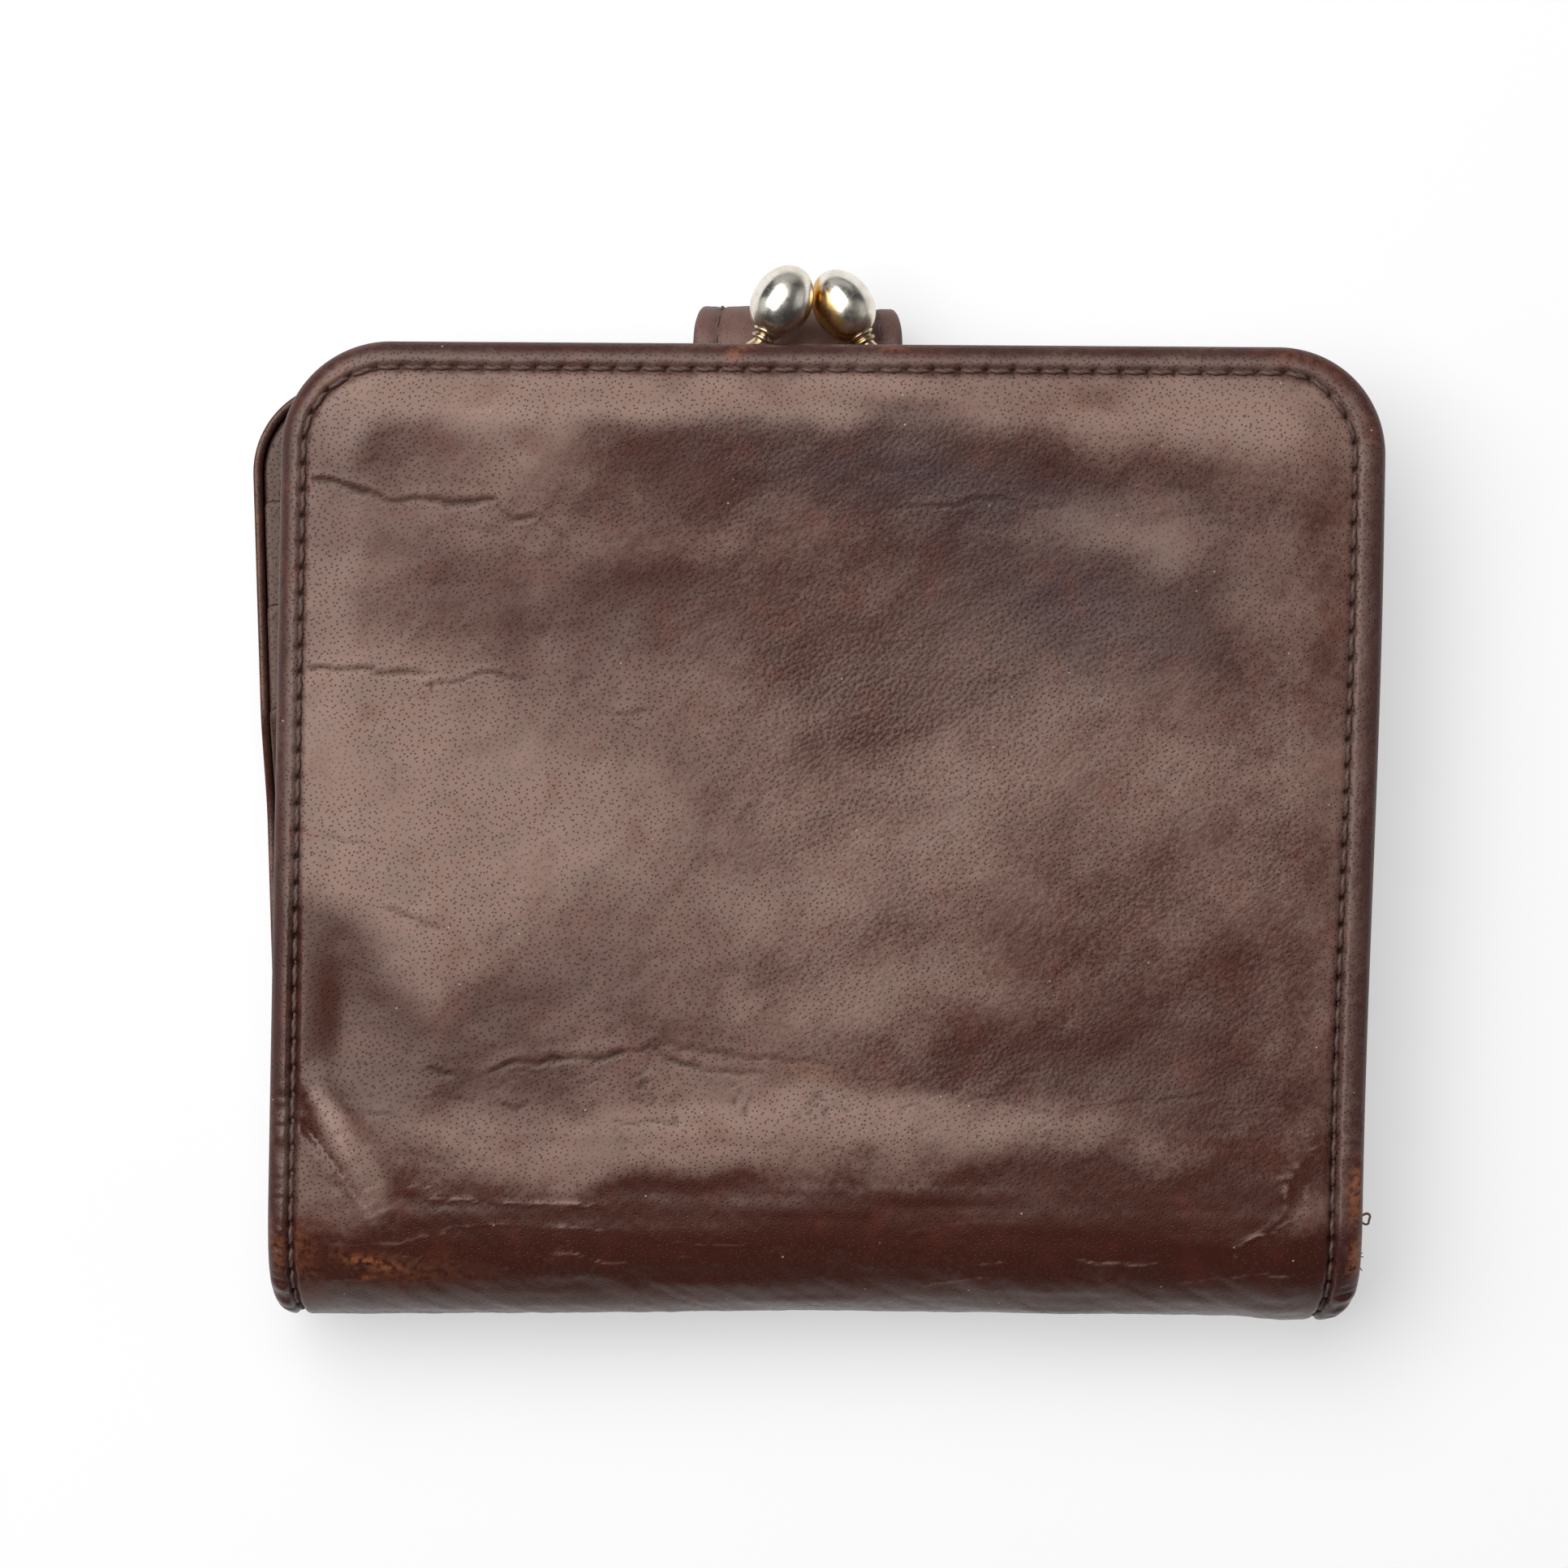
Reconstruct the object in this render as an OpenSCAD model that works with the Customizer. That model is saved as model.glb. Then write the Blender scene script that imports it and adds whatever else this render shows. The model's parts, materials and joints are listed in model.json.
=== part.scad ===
// Bifold leather wallet with a ball-clasp coin purse half.
// It lies closed on its card half: X runs along the spine, Y from the spine to the clasp, Z up.
// The origin is on the table, under the middle of the coin half.

/* [Coin half] */
// Width of the coin half along the spine
coin_w = 114.3; // [108:0.1:122]
// Height of the coin half from spine to clasp edge
coin_h = 101; // [96:0.5:108]
// Radius of the two corners beside the clasp
corner_r = 11.3; // [9:0.1:14]
// Radius of the two corners at the spine
foot_r = 3.5; // [2.5:0.1:5]
// Radius of the rolled spine, half of the closed thickness
spine_r = 11; // [10.8:0.1:12]

/* [Leather and lining] */
// Thickness of the outer leather
skin_t = 1.2; // [0.9:0.1:1.4]
// Thickness of the bound edge, measured in from the side
edge_t = 0.9; // [0.7:0.05:1]
// Thickness of the wall between the coin purse and the card side
wall_t = 0.9; // [0.6:0.1:1]
// Thickness of the woven lining
lining_t = 0.3; // [0.2:0.05:0.4]

/* [Clasp frame] */
// Distance from the clasp edge down to the frame rivets
frame_leg = 76; // [70:0.5:80]
// Width of each frame bar, seen from the front
bar_w = 1.5; // [1.2:0.1:1.5]
// Depth of each frame bar
bar_d = 3; // [2.4:0.1:3.2]
// Radius of the rivet that joins the two frames at each side
rivet_r = 0.8; // [0.6:0.05:0.9]
// Running clearance between rivet and front frame
rivet_gap = 0.05; // [0.02:0.01:0.1]

/* [Clasp balls] */
// Half length of a clasp ball
ball_half = 3.85; // [3.5:0.05:4]
// Largest radius of a clasp ball
ball_r = 3.1; // [2.8:0.05:3.2]
// Radius of the stem under a ball
stem_r = 0.85; // [0.7:0.05:1]

/* [Card half] */
// How much narrower the card half is at each side
card_in = 1.5; // [1:0.1:2.5]
// Height of the card half from the spine
card_h = 99.3; // [96:0.1:100]
// Radius of the two outer corners of the card half
card_r = 9.6; // [8:0.1:11]
// How far the card half has slewed out of line with the coin half
skew = 2.76; // [0:0.01:3]
// Number of stepped card pockets
pockets = 4; // [4:1:4]
// Distance from one card pocket's mouth to the next
pocket_step = 11; // [9:0.5:12]

/* [Closing strap] */
// Width of the strap
strap_w = 22.2; // [18:0.2:24]
// Thickness of the strap
strap_t = 1.2; // [1:0.1:1.3]
// How far the strap sits off the middle line
strap_x = -3.4; // [-5:0.1:2]
// Radius of the snap cap
cap_r = 6.2; // [5:0.1:7]

/* [Hidden] */

$fn = 64;
big = 400;               // larger than the whole wallet, for cutting away
touch = 0.01;            // lets a cutter run past the face that it cuts

half_w = coin_w / 2;
y_low = -coin_h / 2;     // outside of the spine
y_high = coin_h / 2;     // clasp edge
spine_y = y_low + spine_r;
face_z = 2 * spine_r;    // top face of the coin half
wall_z = spine_r + 0.5;  // underside of the coin half's rear wall
wall_top = wall_z + wall_t;
skin_z = face_z - skin_t;

// clasp frame
hinge_y = y_high - frame_leg;
hinge_z = spine_r + 5.5;
front_bar_z = skin_z - 0.2 - bar_d;
rear_bar_z = wall_top;
bar_out = half_w - edge_t;          // outer face of a frame leg
lug_t = 0.6;                        // thickness of a frame's hinge ear
lug_r = 2;                          // radius of a hinge ear
lug_play = 0.1;                     // side play between the two ears
front_lug_x = bar_out - lug_play - lug_t;
rear_lug_x = front_lug_x - lug_play - lug_t;
leg_end = 2.4;                      // how far a frame leg stops short of the rivet line
rivet_head_r = 1.5;
rivet_head_t = 0.4;
pocket_play = 0.4;                  // room that the leather leaves round a rivet head
open_max = 55;                      // how far the clasp frame opens, in degrees
cut_angle = 90 - open_max / 2 - 0.5; // slope of the cuts either side of the fold over the rivets
seam_gap = 0.2;                     // half of the gap between the two closed frame edges

// rounded lower end of the coin pouch
pouch_r = (skin_z - wall_top - lining_t) / 2;
pouch_z = skin_z - pouch_r;
pouch_y = -32;

// card half, as layers measured up from its outer face
rise = 4.6;              // how far the snap lifts the card half's free end
rise_from = 3;           // where the lift begins
rise_to = 14;            // where it ends
card_half_w = half_w - card_in;
card_high = y_low + card_h;
board_t = 0.6;
bill_gap = 0.8;
bill_lining_low = skin_t + board_t;
bill_lining_t = 0.4;
panel_low = bill_lining_low + bill_lining_t + bill_gap;
panel_t = 0.8;
pocket_pitch = 0.8;      // from one card pocket to the next, through the thickness
pocket_t = 0.65;
first_mouth = 36.5;      // mouth of the deepest card pocket
pocket_foot = -36;       // closed end of the card pockets
card_edge_top = panel_low + panel_t + 1;
card_start = spine_y - 4; // inner end of the layers that run on to the spine
card_end = y_high + 5;    // past the free edge, where the outline cuts them

// strap, which turns in a half circle round the card half's free edge
root_z = wall_z - strap_t;
flap_z = 1.3;
turn_out = (wall_z - flap_z) / 2;
turn_z = flap_z + turn_out;
turn_y = 49.55;
root_y = 22;             // where the strap is sewn to the rear wall
flap_tip = 16;
tip_r = 8;               // corner radius of the strap's free end
snap_y = 28;
socket_t = 1.6;
stud_r = 1.9;
post_r = 1.5;

// stitches
stitch_len = 2.1;
stitch_pitch = 2.84;
stitch_in = 2.9;         // stitch line, measured in from the edge
thread_t = 0.5;

// plate with two corner radii, drawn in plan and h thick
module plate(hw, y0, y1, r0, r1, z0, z1) {
    translate([0, 0, z0])
        linear_extrude(z1 - z0)
            union() {
                translate([-hw, y0 + r0]) square([2 * hw, y1 - r1 - y0 - r0]);
                translate([-hw + r0, y0]) square([2 * (hw - r0), r0]);
                translate([-hw + r1, y1 - r1]) square([2 * (hw - r1), r1]);
                for (s = [-1, 1]) {
                    translate([s * (hw - r0), y0 + r0]) circle(r0);
                    translate([s * (hw - r1), y1 - r1]) circle(r1);
                }
            }
}

// outline of the coin half, moved in by d
module coin_plate(d, z0, z1) {
    plate(half_w - d, y_low + d, y_high - d, foot_r - d, corner_r - d, z0, z1);
}

// the edge strip of the coin half between two distances from its outline
module coin_ring(d0, d1, z0, z1) {
    difference() {
        coin_plate(d0, z0, z1);
        plate(half_w - d1, y_low + d1, y_high - d1, max(foot_r - d1, 0.2), corner_r - d1,
              z0 - touch, z1 + touch);
    }
}

// a section drawn as [y, z], run across the whole width w
module along_x(w) {
    rotate([90, 0, 90]) linear_extrude(w, center = true) children();
}

// the card half has slewed about the middle of the spine
module slewed() {
    translate([0, y_low, 0]) rotate([0, 0, skew]) translate([0, -y_low, 0]) children();
}

module card_plate(d, z0, z1) {
    plate(card_half_w - d, y_low + d, card_high - d, foot_r - d, card_r - d, z0, z1);
}

// section of one layer of the card half, from height t0 to t1 above its outer face
module layer_section(t0, t1, y0, y1) {
    polygon([
        [y0, t0], [rise_from, t0], [rise_to, t0 + rise], [y1, t0 + rise],
        [y1, t1 + rise], [rise_to, t1 + rise], [rise_from, t1], [y0, t1]
    ]);
}

// a layer that ends before the lift
module flat_section(t0, t1, y0, y1) {
    translate([y0, t0]) square([y1 - y0, t1 - t0]);
}

module card_layer(t0, t1, y0, y1, d) {
    intersection() {
        slewed()
            intersection() {
                along_x(coin_w) layer_section(t0, t1, y0, y1);
                card_plate(d, -1, face_z);
            }
        beyond_spine();
    }
}

// everything past the line where the spine's roll begins
module beyond_spine() {
    translate([-big / 2, spine_y, -1]) cube([big, big, face_z + 2]);
}

// quarter of a rolled end with a straight run of length l, centred on the roll
module roll_section(r, l) {
    union() {
        intersection() {
            circle(r);
            translate([-r, 0]) square([r, r]);
        }
        square([l, r]);
    }
}

// wall of a rolled end
module roll_wall(r, t, l) {
    difference() {
        roll_section(r, l);
        roll_section(r - t, l + 1);
    }
}

// everything on the clasp side of the sloping cut through the rivet line
module front_side() {
    along_x(big)
        translate([hinge_y, hinge_z])
            polygon([[0, 0], [big / tan(cut_angle) / 4, big / 4], [big, big / 4], [big, 0]]);
}

// everything on the spine side of the opposite cut
module spine_side() {
    along_x(big)
        translate([hinge_y, hinge_z])
            polygon([
                [0, 0], [-big / tan(cut_angle) / 4, big / 4], [-big, big / 4], [-big, -big / 4], [0, -big / 4]
            ]);
}

// the wedge between the two cuts, where the leather folds
module fold_side() {
    along_x(big)
        translate([hinge_y, hinge_z])
            polygon([[0, 0], [big / tan(cut_angle) / 4, big / 4], [-big / tan(cut_angle) / 4, big / 4]]);
}

// rod of radius r from point p to point q
module rod(p, q, r) {
    d = q - p;
    translate(p)
        rotate([0, acos(d[2] / norm(d)), atan2(d[1], d[0])])
            cylinder(h = norm(d), r = r);
}

// room in the leather for the outer rivet heads
module rivet_pockets() {
    for (s = [-1, 1])
        translate([s > 0 ? bar_out - 2 : -bar_out - 0.5, hinge_y, hinge_z])
            rotate([0, 90, 0])
                cylinder(h = 2.5, r = rivet_head_r + pocket_play);
}

// one ear, standing on the rivet line and reaching a frame bar on side up
module ear(x, up, hole) {
    for (s = [-1, 1])
        translate([s > 0 ? x : -x - lug_t, hinge_y, hinge_z])
            rotate([90, 0, 90])
                linear_extrude(lug_t)
                    difference() {
                        union() {
                            circle(lug_r);
                            polygon([
                                [-lug_r, 0], [lug_r, 0], [leg_end + 3, up * 1.3], [leg_end + 3, up * 3],
                                [lug_r * 0.8, up * 3], [-lug_r, up * 1]
                            ]);
                        }
                        circle(hole);
                    }
}

// a frame bar running round the clasp end, down to short of the rivet line
module frame_bar(z0) {
    intersection() {
        coin_ring(edge_t, edge_t + bar_w, z0, z0 + bar_d);
        translate([-big / 2, hinge_y + leg_end, 0]) cube([big, big, face_z]);
    }
}

// where a stem starts on its frame and where it meets its ball
front_foot = [-9.9, 49, front_bar_z + 1];
front_centre = [-5.07, 55, hinge_z + 1.3];
front_lean = 26.6;
rear_foot = [5.6, 49, rear_bar_z + 2];
rear_centre = [1.23, 54.85, hinge_z - 1.3];
rear_lean = -31;
collar_h = 1;
collar_r = 1.35;

function ball_foot(c, lean) = c - ball_half * [sin(lean), cos(lean), 0];

// egg of revolution with its long axis leaning in plan
module ball(c, lean) {
    steps = 18;
    translate(c)
        rotate([0, 0, -lean])
            rotate([-90, 0, 0]) {
                rotate_extrude()
                    polygon([
                        for (i = [0 : steps])
                            [ball_r * sin(180 * i / steps), -ball_half * cos(180 * i / steps)]
                    ]);
                translate([0, 0, -ball_half - 0.3]) cylinder(h = collar_h, r = collar_r);
            }
}

// stem, collar and ball; the stem stands on the frame bar
module clasp_ball(foot, c, lean) {
    union() {
        difference() {
            rod(foot, ball_foot(c, lean), stem_r);
            frame_bar(front_bar_z);
            frame_bar(rear_bar_z);
        }
        ball(c, lean);
    }
}

// stitches in a row along +X or +Y, lying on height z
module stitch_row(from, to, z) {
    run = to - from;
    count = floor(norm(run) / stitch_pitch);
    for (i = [0 : count - 1])
        translate([from[0], from[1], z] + [run[0], run[1], 0] * ((i + 0.5) / count))
            rotate([0, 0, atan2(run[1], run[0])])
                translate([-stitch_len / 2, -thread_t / 2, 0])
                    cube([stitch_len, thread_t, thread_t / 2]);
}

// stitches round one of the clasp corners
module stitch_corner(s, z) {
    r = corner_r - stitch_in;
    count = round(r * PI / 2 / stitch_pitch);
    for (i = [0 : count - 1])
        translate([s * (half_w - corner_r), y_high - corner_r, z])
            rotate([0, 0, 90 - s * 90 * (i + 0.5) / count])
                translate([r - thread_t / 2, -stitch_len / 2, 0])
                    cube([thread_t, stitch_len, thread_t / 2]);
}

// ---- clasp side of the coin half ----

module front_cover() {
    color("#4a2a22")
        intersection() {
            coin_plate(0, skin_z, face_z);
            front_side();
        }
}

module front_binding() {
    color("#3c201a")
        difference() {
            intersection() {
                coin_ring(0, edge_t, hinge_z + seam_gap, skin_z);
                front_side();
            }
            rod(front_foot, ball_foot(front_centre, front_lean), stem_r + 0.2);
            rivet_pockets();
        }
}

module front_frame() {
    color("silver")
        union() {
            frame_bar(front_bar_z);
            ear(front_lug_x, 1, rivet_r + rivet_gap);
        }
}

module front_ball() {
    color("#cfc8ba") clasp_ball(front_foot, front_centre, front_lean);
}

module front_lining() {
    color("#8a7460")
        intersection() {
            plate(half_w - 2.6, y_low + 10, y_high - 2.6, 2, corner_r - 2.6, skin_z - lining_t, skin_z);
            front_side();
        }
}

module front_stitching() {
    y_side = y_high - corner_r;
    color("#2a1712") {
        stitch_row([-half_w + corner_r, y_high - stitch_in], [half_w - corner_r, y_high - stitch_in], face_z);
        for (s = [-1, 1]) {
            stitch_corner(s, face_z);
            stitch_row([s * (half_w - stitch_in), hinge_y + 3.5], [s * (half_w - stitch_in), y_side], face_z);
        }
    }
}

// ---- rest of the coin half ----

module rear_wall() {
    color("#4a2a22")
        intersection() {
            coin_plate(0, wall_z, wall_top);
            translate([-big / 2, spine_y, 0]) cube([big, big, face_z]);
        }
}

module rear_binding() {
    color("#3c201a")
        difference() {
            intersection() {
                coin_ring(0, edge_t, wall_top, hinge_z - seam_gap);
                translate([-big / 2, hinge_y, 0]) cube([big, big, face_z]);
            }
            rod(rear_foot, ball_foot(rear_centre, rear_lean), stem_r + 0.2);
            rivet_pockets();
        }
}

module rear_frame() {
    color("silver")
        union() {
            frame_bar(rear_bar_z);
            ear(rear_lug_x, -1, rivet_r);
        }
}

module rear_ball() {
    color("#cfc8ba") clasp_ball(rear_foot, rear_centre, rear_lean);
}

module rear_lining() {
    color("#8a7460")
        intersection() {
            plate(half_w - 2.6, y_low + 10, y_high - 2.6, 2, corner_r - 2.6, wall_top, wall_top + lining_t);
            translate([-big / 2, pouch_y - pouch_r, 0]) cube([big, big, face_z]);
        }
}

module frame_rivets() {
    inner = rear_lug_x - rivet_head_t;
    outer = bar_out - 0.05;
    color("#b9b2a4")
        for (s = [-1, 1])
            translate([0, hinge_y, hinge_z])
                rotate([0, s * 90, 0]) {
                    translate([0, 0, inner]) cylinder(h = outer - inner, r = rivet_r);
                    translate([0, 0, inner]) cylinder(h = rivet_head_t, r = rivet_head_r);
                    translate([0, 0, outer]) cylinder(h = rivet_head_t, r = rivet_head_r);
                }
}

// side gusset: a strip folded inwards along its middle
module gusset(s) {
    outer = rear_lug_x - rivet_head_t - 0.2;
    far = y_high - corner_r - 1;
    depth = 4;
    z_top = skin_z - lining_t - 0.1;
    z_bottom = wall_top + lining_t + 0.1;
    z_mid = (z_top + z_bottom) / 2;
    thick = 0.4;
    translate([0, far, 0])
        rotate([90, 0, 0])
            linear_extrude(far - hinge_y - 2)
                polygon([
                    [s * outer, z_top], [s * (outer - depth), z_mid], [s * outer, z_bottom],
                    [s * outer, z_bottom + thick], [s * (outer - depth + thick), z_mid],
                    [s * outer, z_top - thick]
                ]);
}

module gusset_left() {
    color("#5b3d30") gusset(-1);
}

module gusset_right() {
    color("#5b3d30") gusset(1);
}

module spine_cover() {
    color("#45261f")
        intersection() {
            along_x(coin_w) translate([spine_y, spine_r]) roll_wall(spine_r, skin_t, coin_h / 2);
            coin_plate(0, 0, face_z);
            spine_side();
        }
}

// leather that folds over the rivet line when the clasp opens
module cover_fold() {
    color("#55342a")
        difference() {
            intersection() {
                union() {
                    coin_plate(0, skin_z, face_z);
                    coin_ring(0, edge_t, hinge_z + seam_gap, skin_z);
                }
                fold_side();
            }
            rivet_pockets();
        }
}

// bound edges beside the pouch, between the rivets and the spine
module side_bindings() {
    color("#3c201a")
        difference() {
            intersection() {
                along_x(coin_w) translate([spine_y, spine_r]) roll_section(spine_r - skin_t, coin_h / 2);
                coin_ring(0, edge_t, spine_r, skin_z);
                spine_side();
            }
            translate([-big / 2, spine_y, 0]) cube([big, big, wall_top]);
            rivet_pockets();
        }
}

module pouch_bottom() {
    color("#8a7460")
        intersection() {
            along_x(2 * (half_w - 3))
                translate([pouch_y, pouch_z])
                    union() {
                        roll_wall(pouch_r, lining_t, 20);
                        mirror([0, 1]) roll_wall(pouch_r, lining_t, 1);
                    }
            spine_side();
        }
}

module side_stitching() {
    color("#2a1712")
        for (s = [-1, 1])
            stitch_row([s * (half_w - stitch_in), spine_y], [s * (half_w - stitch_in), hinge_y - 3.5], face_z);
}

module strap_root() {
    color("#5a342a")
        translate([strap_x, 0, 0])
            along_x(strap_w)
                union() {
                    translate([root_y, root_z]) square([turn_y - root_y, strap_t]);
                    translate([turn_y, turn_z])
                        intersection() {
                            difference() {
                                circle(turn_out);
                                circle(turn_out - strap_t);
                            }
                            square([big, big]);
                        }
                }
}

// stitches that hold the strap's end to the rear wall, seen when the wallet is open
module root_stitching() {
    z = root_z - thread_t / 2;
    half = strap_w / 2 - 2.6;
    color("#2a1712")
        for (y = [root_y + 2, root_y + 12])
            stitch_row([strap_x - half, y], [strap_x + half, y], z);
}

// ---- card half ----

module back_cover() {
    color("#45261f")
        difference() {
            union() {
                intersection() {
                    along_x(coin_w)
                        translate([spine_y, spine_r]) mirror([0, 1]) roll_wall(spine_r, skin_t, 1);
                    coin_plate(0, 0, spine_r);
                }
                card_layer(0, skin_t, card_start, card_end, 0);
            }
            translate([strap_x, snap_y, 0]) cylinder(h = spine_r, r = post_r);
        }
}

module card_stiffener() {
    color("#b59d7a")
        difference() {
            card_layer(skin_t, bill_lining_low, card_start, card_end, edge_t);
            translate([strap_x, snap_y, 0]) cylinder(h = spine_r, r = post_r + 2);
        }
}

module bill_lining() {
    color("#6b4a3a") card_layer(bill_lining_low, bill_lining_low + bill_lining_t, card_start, card_end, edge_t);
}

module card_panel() {
    color("#4f2d25") card_layer(panel_low, panel_low + panel_t, pocket_foot, card_end, edge_t);
}

// card pocket number i, counted from the deepest one
module card_pocket(i) {
    low = panel_low + panel_t + pocket_pitch * (i - 1);
    mouth = first_mouth - pocket_step * (i - 1);
    color(i % 2 == 0 ? "#5a3529" : "#4f2d25") card_layer(low, low + pocket_t, pocket_foot, mouth, edge_t);
}

module card_pocket_1() {
    card_pocket(1);
}

module card_pocket_2() {
    card_pocket(2);
}

module card_pocket_3() {
    card_pocket(3);
}

// the last pocket's mouth is below the place where the layers lift
module card_pocket_4() {
    low = panel_low + panel_t + pocket_pitch * (pockets - 1);
    color("#5a3529")
        slewed()
            intersection() {
                along_x(coin_w) flat_section(low, low + pocket_t, pocket_foot, rise_from - 1);
                card_plate(edge_t, -1, face_z);
            }
}

// bound edge of the card half, and of the spine's lower half
module card_binding() {
    color("#3c201a") {
        difference() {
            card_layer(skin_t, card_edge_top, card_start, card_end, 0);
            slewed() card_plate(edge_t, -2, face_z + 1);
        }
        intersection() {
            along_x(coin_w)
                translate([spine_y, spine_r]) mirror([0, 1]) roll_section(spine_r - skin_t, touch);
            coin_ring(0, edge_t, 0, spine_r);
        }
    }
}

// lining round the inside of the spine, from the bill pocket to the rear wall
module spine_lining() {
    low = bill_lining_low;
    r = (wall_z + bill_lining_t - low) / 2;
    color("#6b4a3a")
        along_x(2 * (card_half_w - 2))
            translate([spine_y, low + r])
                intersection() {
                    difference() {
                        circle(r);
                        circle(r - bill_lining_t);
                    }
                    translate([-r, -r]) square([r, 2 * r]);
                }
}

module snap_stud() {
    color("#a58a4f")
        translate([strap_x, snap_y, 0]) {
            translate([0, 0, rise - 0.3]) cylinder(h = 0.3, r = 4.4);
            translate([0, 0, rise - 1.8]) cylinder(h = 1.5, r = stud_r);
        }
}

module snap_post() {
    color("#a58a4f")
        translate([strap_x, snap_y, 0]) {
            translate([0, 0, rise]) cylinder(h = skin_t, r = post_r);
            translate([0, 0, rise + skin_t]) cylinder(h = 0.4, r = post_r + 1.5);
        }
}

// ---- strap ----

// the strap's free end in plan, with rounded corners at its tip
module flap_outline() {
    hw = strap_w / 2;
    union() {
        translate([-hw, flap_tip + tip_r]) square([strap_w, turn_y - flap_tip - tip_r]);
        translate([-hw + tip_r, flap_tip]) square([strap_w - 2 * tip_r, tip_r]);
        for (s = [-1, 1])
            translate([s * (hw - tip_r), flap_tip + tip_r]) circle(tip_r);
    }
}

module strap_flap() {
    color("#5a342a")
        translate([strap_x, 0, 0])
            difference() {
                union() {
                    translate([0, 0, flap_z]) linear_extrude(strap_t) flap_outline();
                    along_x(strap_w)
                        translate([turn_y, turn_z])
                            intersection() {
                                difference() {
                                    circle(turn_out);
                                    circle(turn_out - strap_t);
                                }
                                translate([0, -big]) square([big, big]);
                            }
                }
                translate([0, snap_y, 0]) cylinder(h = spine_r, r = post_r);
            }
}

module snap_cap() {
    steps = 8;
    color("#cfc8ba")
        translate([strap_x, snap_y, 0]) {
            rotate_extrude()
                polygon([
                    for (i = [0 : steps]) [cap_r * sin(90 * i / steps), flap_z * (1 - cos(90 * i / steps))],
                    [0, flap_z]
                ]);
            translate([0, 0, flap_z]) cylinder(h = strap_t, r = post_r);
        }
}

module snap_socket() {
    color("#a58a4f")
        translate([strap_x, snap_y, flap_z + strap_t])
            difference() {
                cylinder(h = socket_t, r = 5);
                translate([0, 0, 0.2]) cylinder(h = socket_t, r = stud_r + 0.2);
            }
}

module strap_stitching() {
    half = strap_w / 2 - 2.6;
    z = flap_z - thread_t / 2;
    color("#2a1712")
        translate([strap_x, 0, 0])
            for (s = [-1, 1])
                stitch_row([s * half, flap_tip + 9], [s * half, turn_y - 1], z);
}

front_cover();
front_binding();
front_frame();
front_ball();
front_lining();
front_stitching();
rear_wall();
rear_binding();
rear_frame();
rear_ball();
rear_lining();
frame_rivets();
gusset_left();
gusset_right();
spine_cover();
cover_fold();
side_bindings();
pouch_bottom();
side_stitching();
strap_root();
root_stitching();
back_cover();
card_stiffener();
bill_lining();
card_panel();
card_pocket_1();
card_pocket_2();
card_pocket_3();
card_pocket_4();
card_binding();
spine_lining();
snap_stud();
snap_post();
strap_flap();
snap_cap();
snap_socket();
strap_stitching();
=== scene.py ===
import json
import math

import bpy
import numpy as np
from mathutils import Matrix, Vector


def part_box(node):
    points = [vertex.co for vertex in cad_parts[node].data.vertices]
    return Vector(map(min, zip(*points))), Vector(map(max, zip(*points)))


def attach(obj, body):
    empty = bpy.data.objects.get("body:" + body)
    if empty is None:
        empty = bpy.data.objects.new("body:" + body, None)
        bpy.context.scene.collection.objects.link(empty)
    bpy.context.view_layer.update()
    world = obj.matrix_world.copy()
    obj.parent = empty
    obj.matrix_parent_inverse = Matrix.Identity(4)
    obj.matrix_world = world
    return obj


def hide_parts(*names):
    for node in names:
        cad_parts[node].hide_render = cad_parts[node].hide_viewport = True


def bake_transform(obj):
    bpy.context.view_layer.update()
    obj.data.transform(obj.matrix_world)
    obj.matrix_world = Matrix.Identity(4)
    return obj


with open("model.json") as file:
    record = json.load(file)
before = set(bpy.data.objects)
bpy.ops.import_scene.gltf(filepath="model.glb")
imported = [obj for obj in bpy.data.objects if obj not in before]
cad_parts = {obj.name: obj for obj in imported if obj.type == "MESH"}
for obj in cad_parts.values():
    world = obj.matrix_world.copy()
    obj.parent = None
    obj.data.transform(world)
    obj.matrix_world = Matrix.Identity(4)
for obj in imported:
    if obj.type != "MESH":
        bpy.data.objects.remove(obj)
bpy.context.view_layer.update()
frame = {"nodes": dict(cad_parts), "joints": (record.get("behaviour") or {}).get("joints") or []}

MM = 0.001


def box_mm(node):
    low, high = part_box(node)
    return [c / MM for c in low], [c / MM for c in high]


JOINT = {j["name"]: [c / MM for c in j["pos_m"]] for j in frame["joints"]}
HALF_W, Y_HIGH, FACE_Z = box_mm("front_cover")[1]
Y_LOW = box_mm("spine_cover")[0][1]
ROLL_R = FACE_Z / 2
SPINE_Y = Y_LOW + ROLL_R
HINGE_Y, HINGE_Z = JOINT["clasp_frame"][1:]
SIDE_X = 45                        # a place further out than this is on a bound side, not an end
SEAM_GAP = 0.2                     # half of the gap between the closed frame halves
CORNER_R = 11.3                    # clasp corners of the coin half
WALL_Z = box_mm("rear_wall")[0][2]
WALL_TOP = box_mm("rear_wall")[1][2]
SKIN_Z = box_mm("front_cover")[0][2]
SKIN_T = FACE_Z - SKIN_Z
# card half
CARD_IN = 0.45                     # how much narrower the card half is at each side
CARD_HALF = HALF_W - CARD_IN - 0.15
CARD_TOP = 48.8                    # free edge of the card half, before it slews
CARD_CORNER_R = 9.6
SKEW = math.radians(2.76)
RISE = box_mm("snap_stud")[1][2]   # how far the snap lifts the card half's free end
RISE_FROM, RISE_TO = 3, 14
CARD_EDGE_TOP = 4.8
EDGE_T = 0.9                       # thickness of the leather where it is turned over an edge
REAR_EDGE_T = 0.75                 # thinner at the rear, to clear the front frame's legs at the rivets
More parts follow.
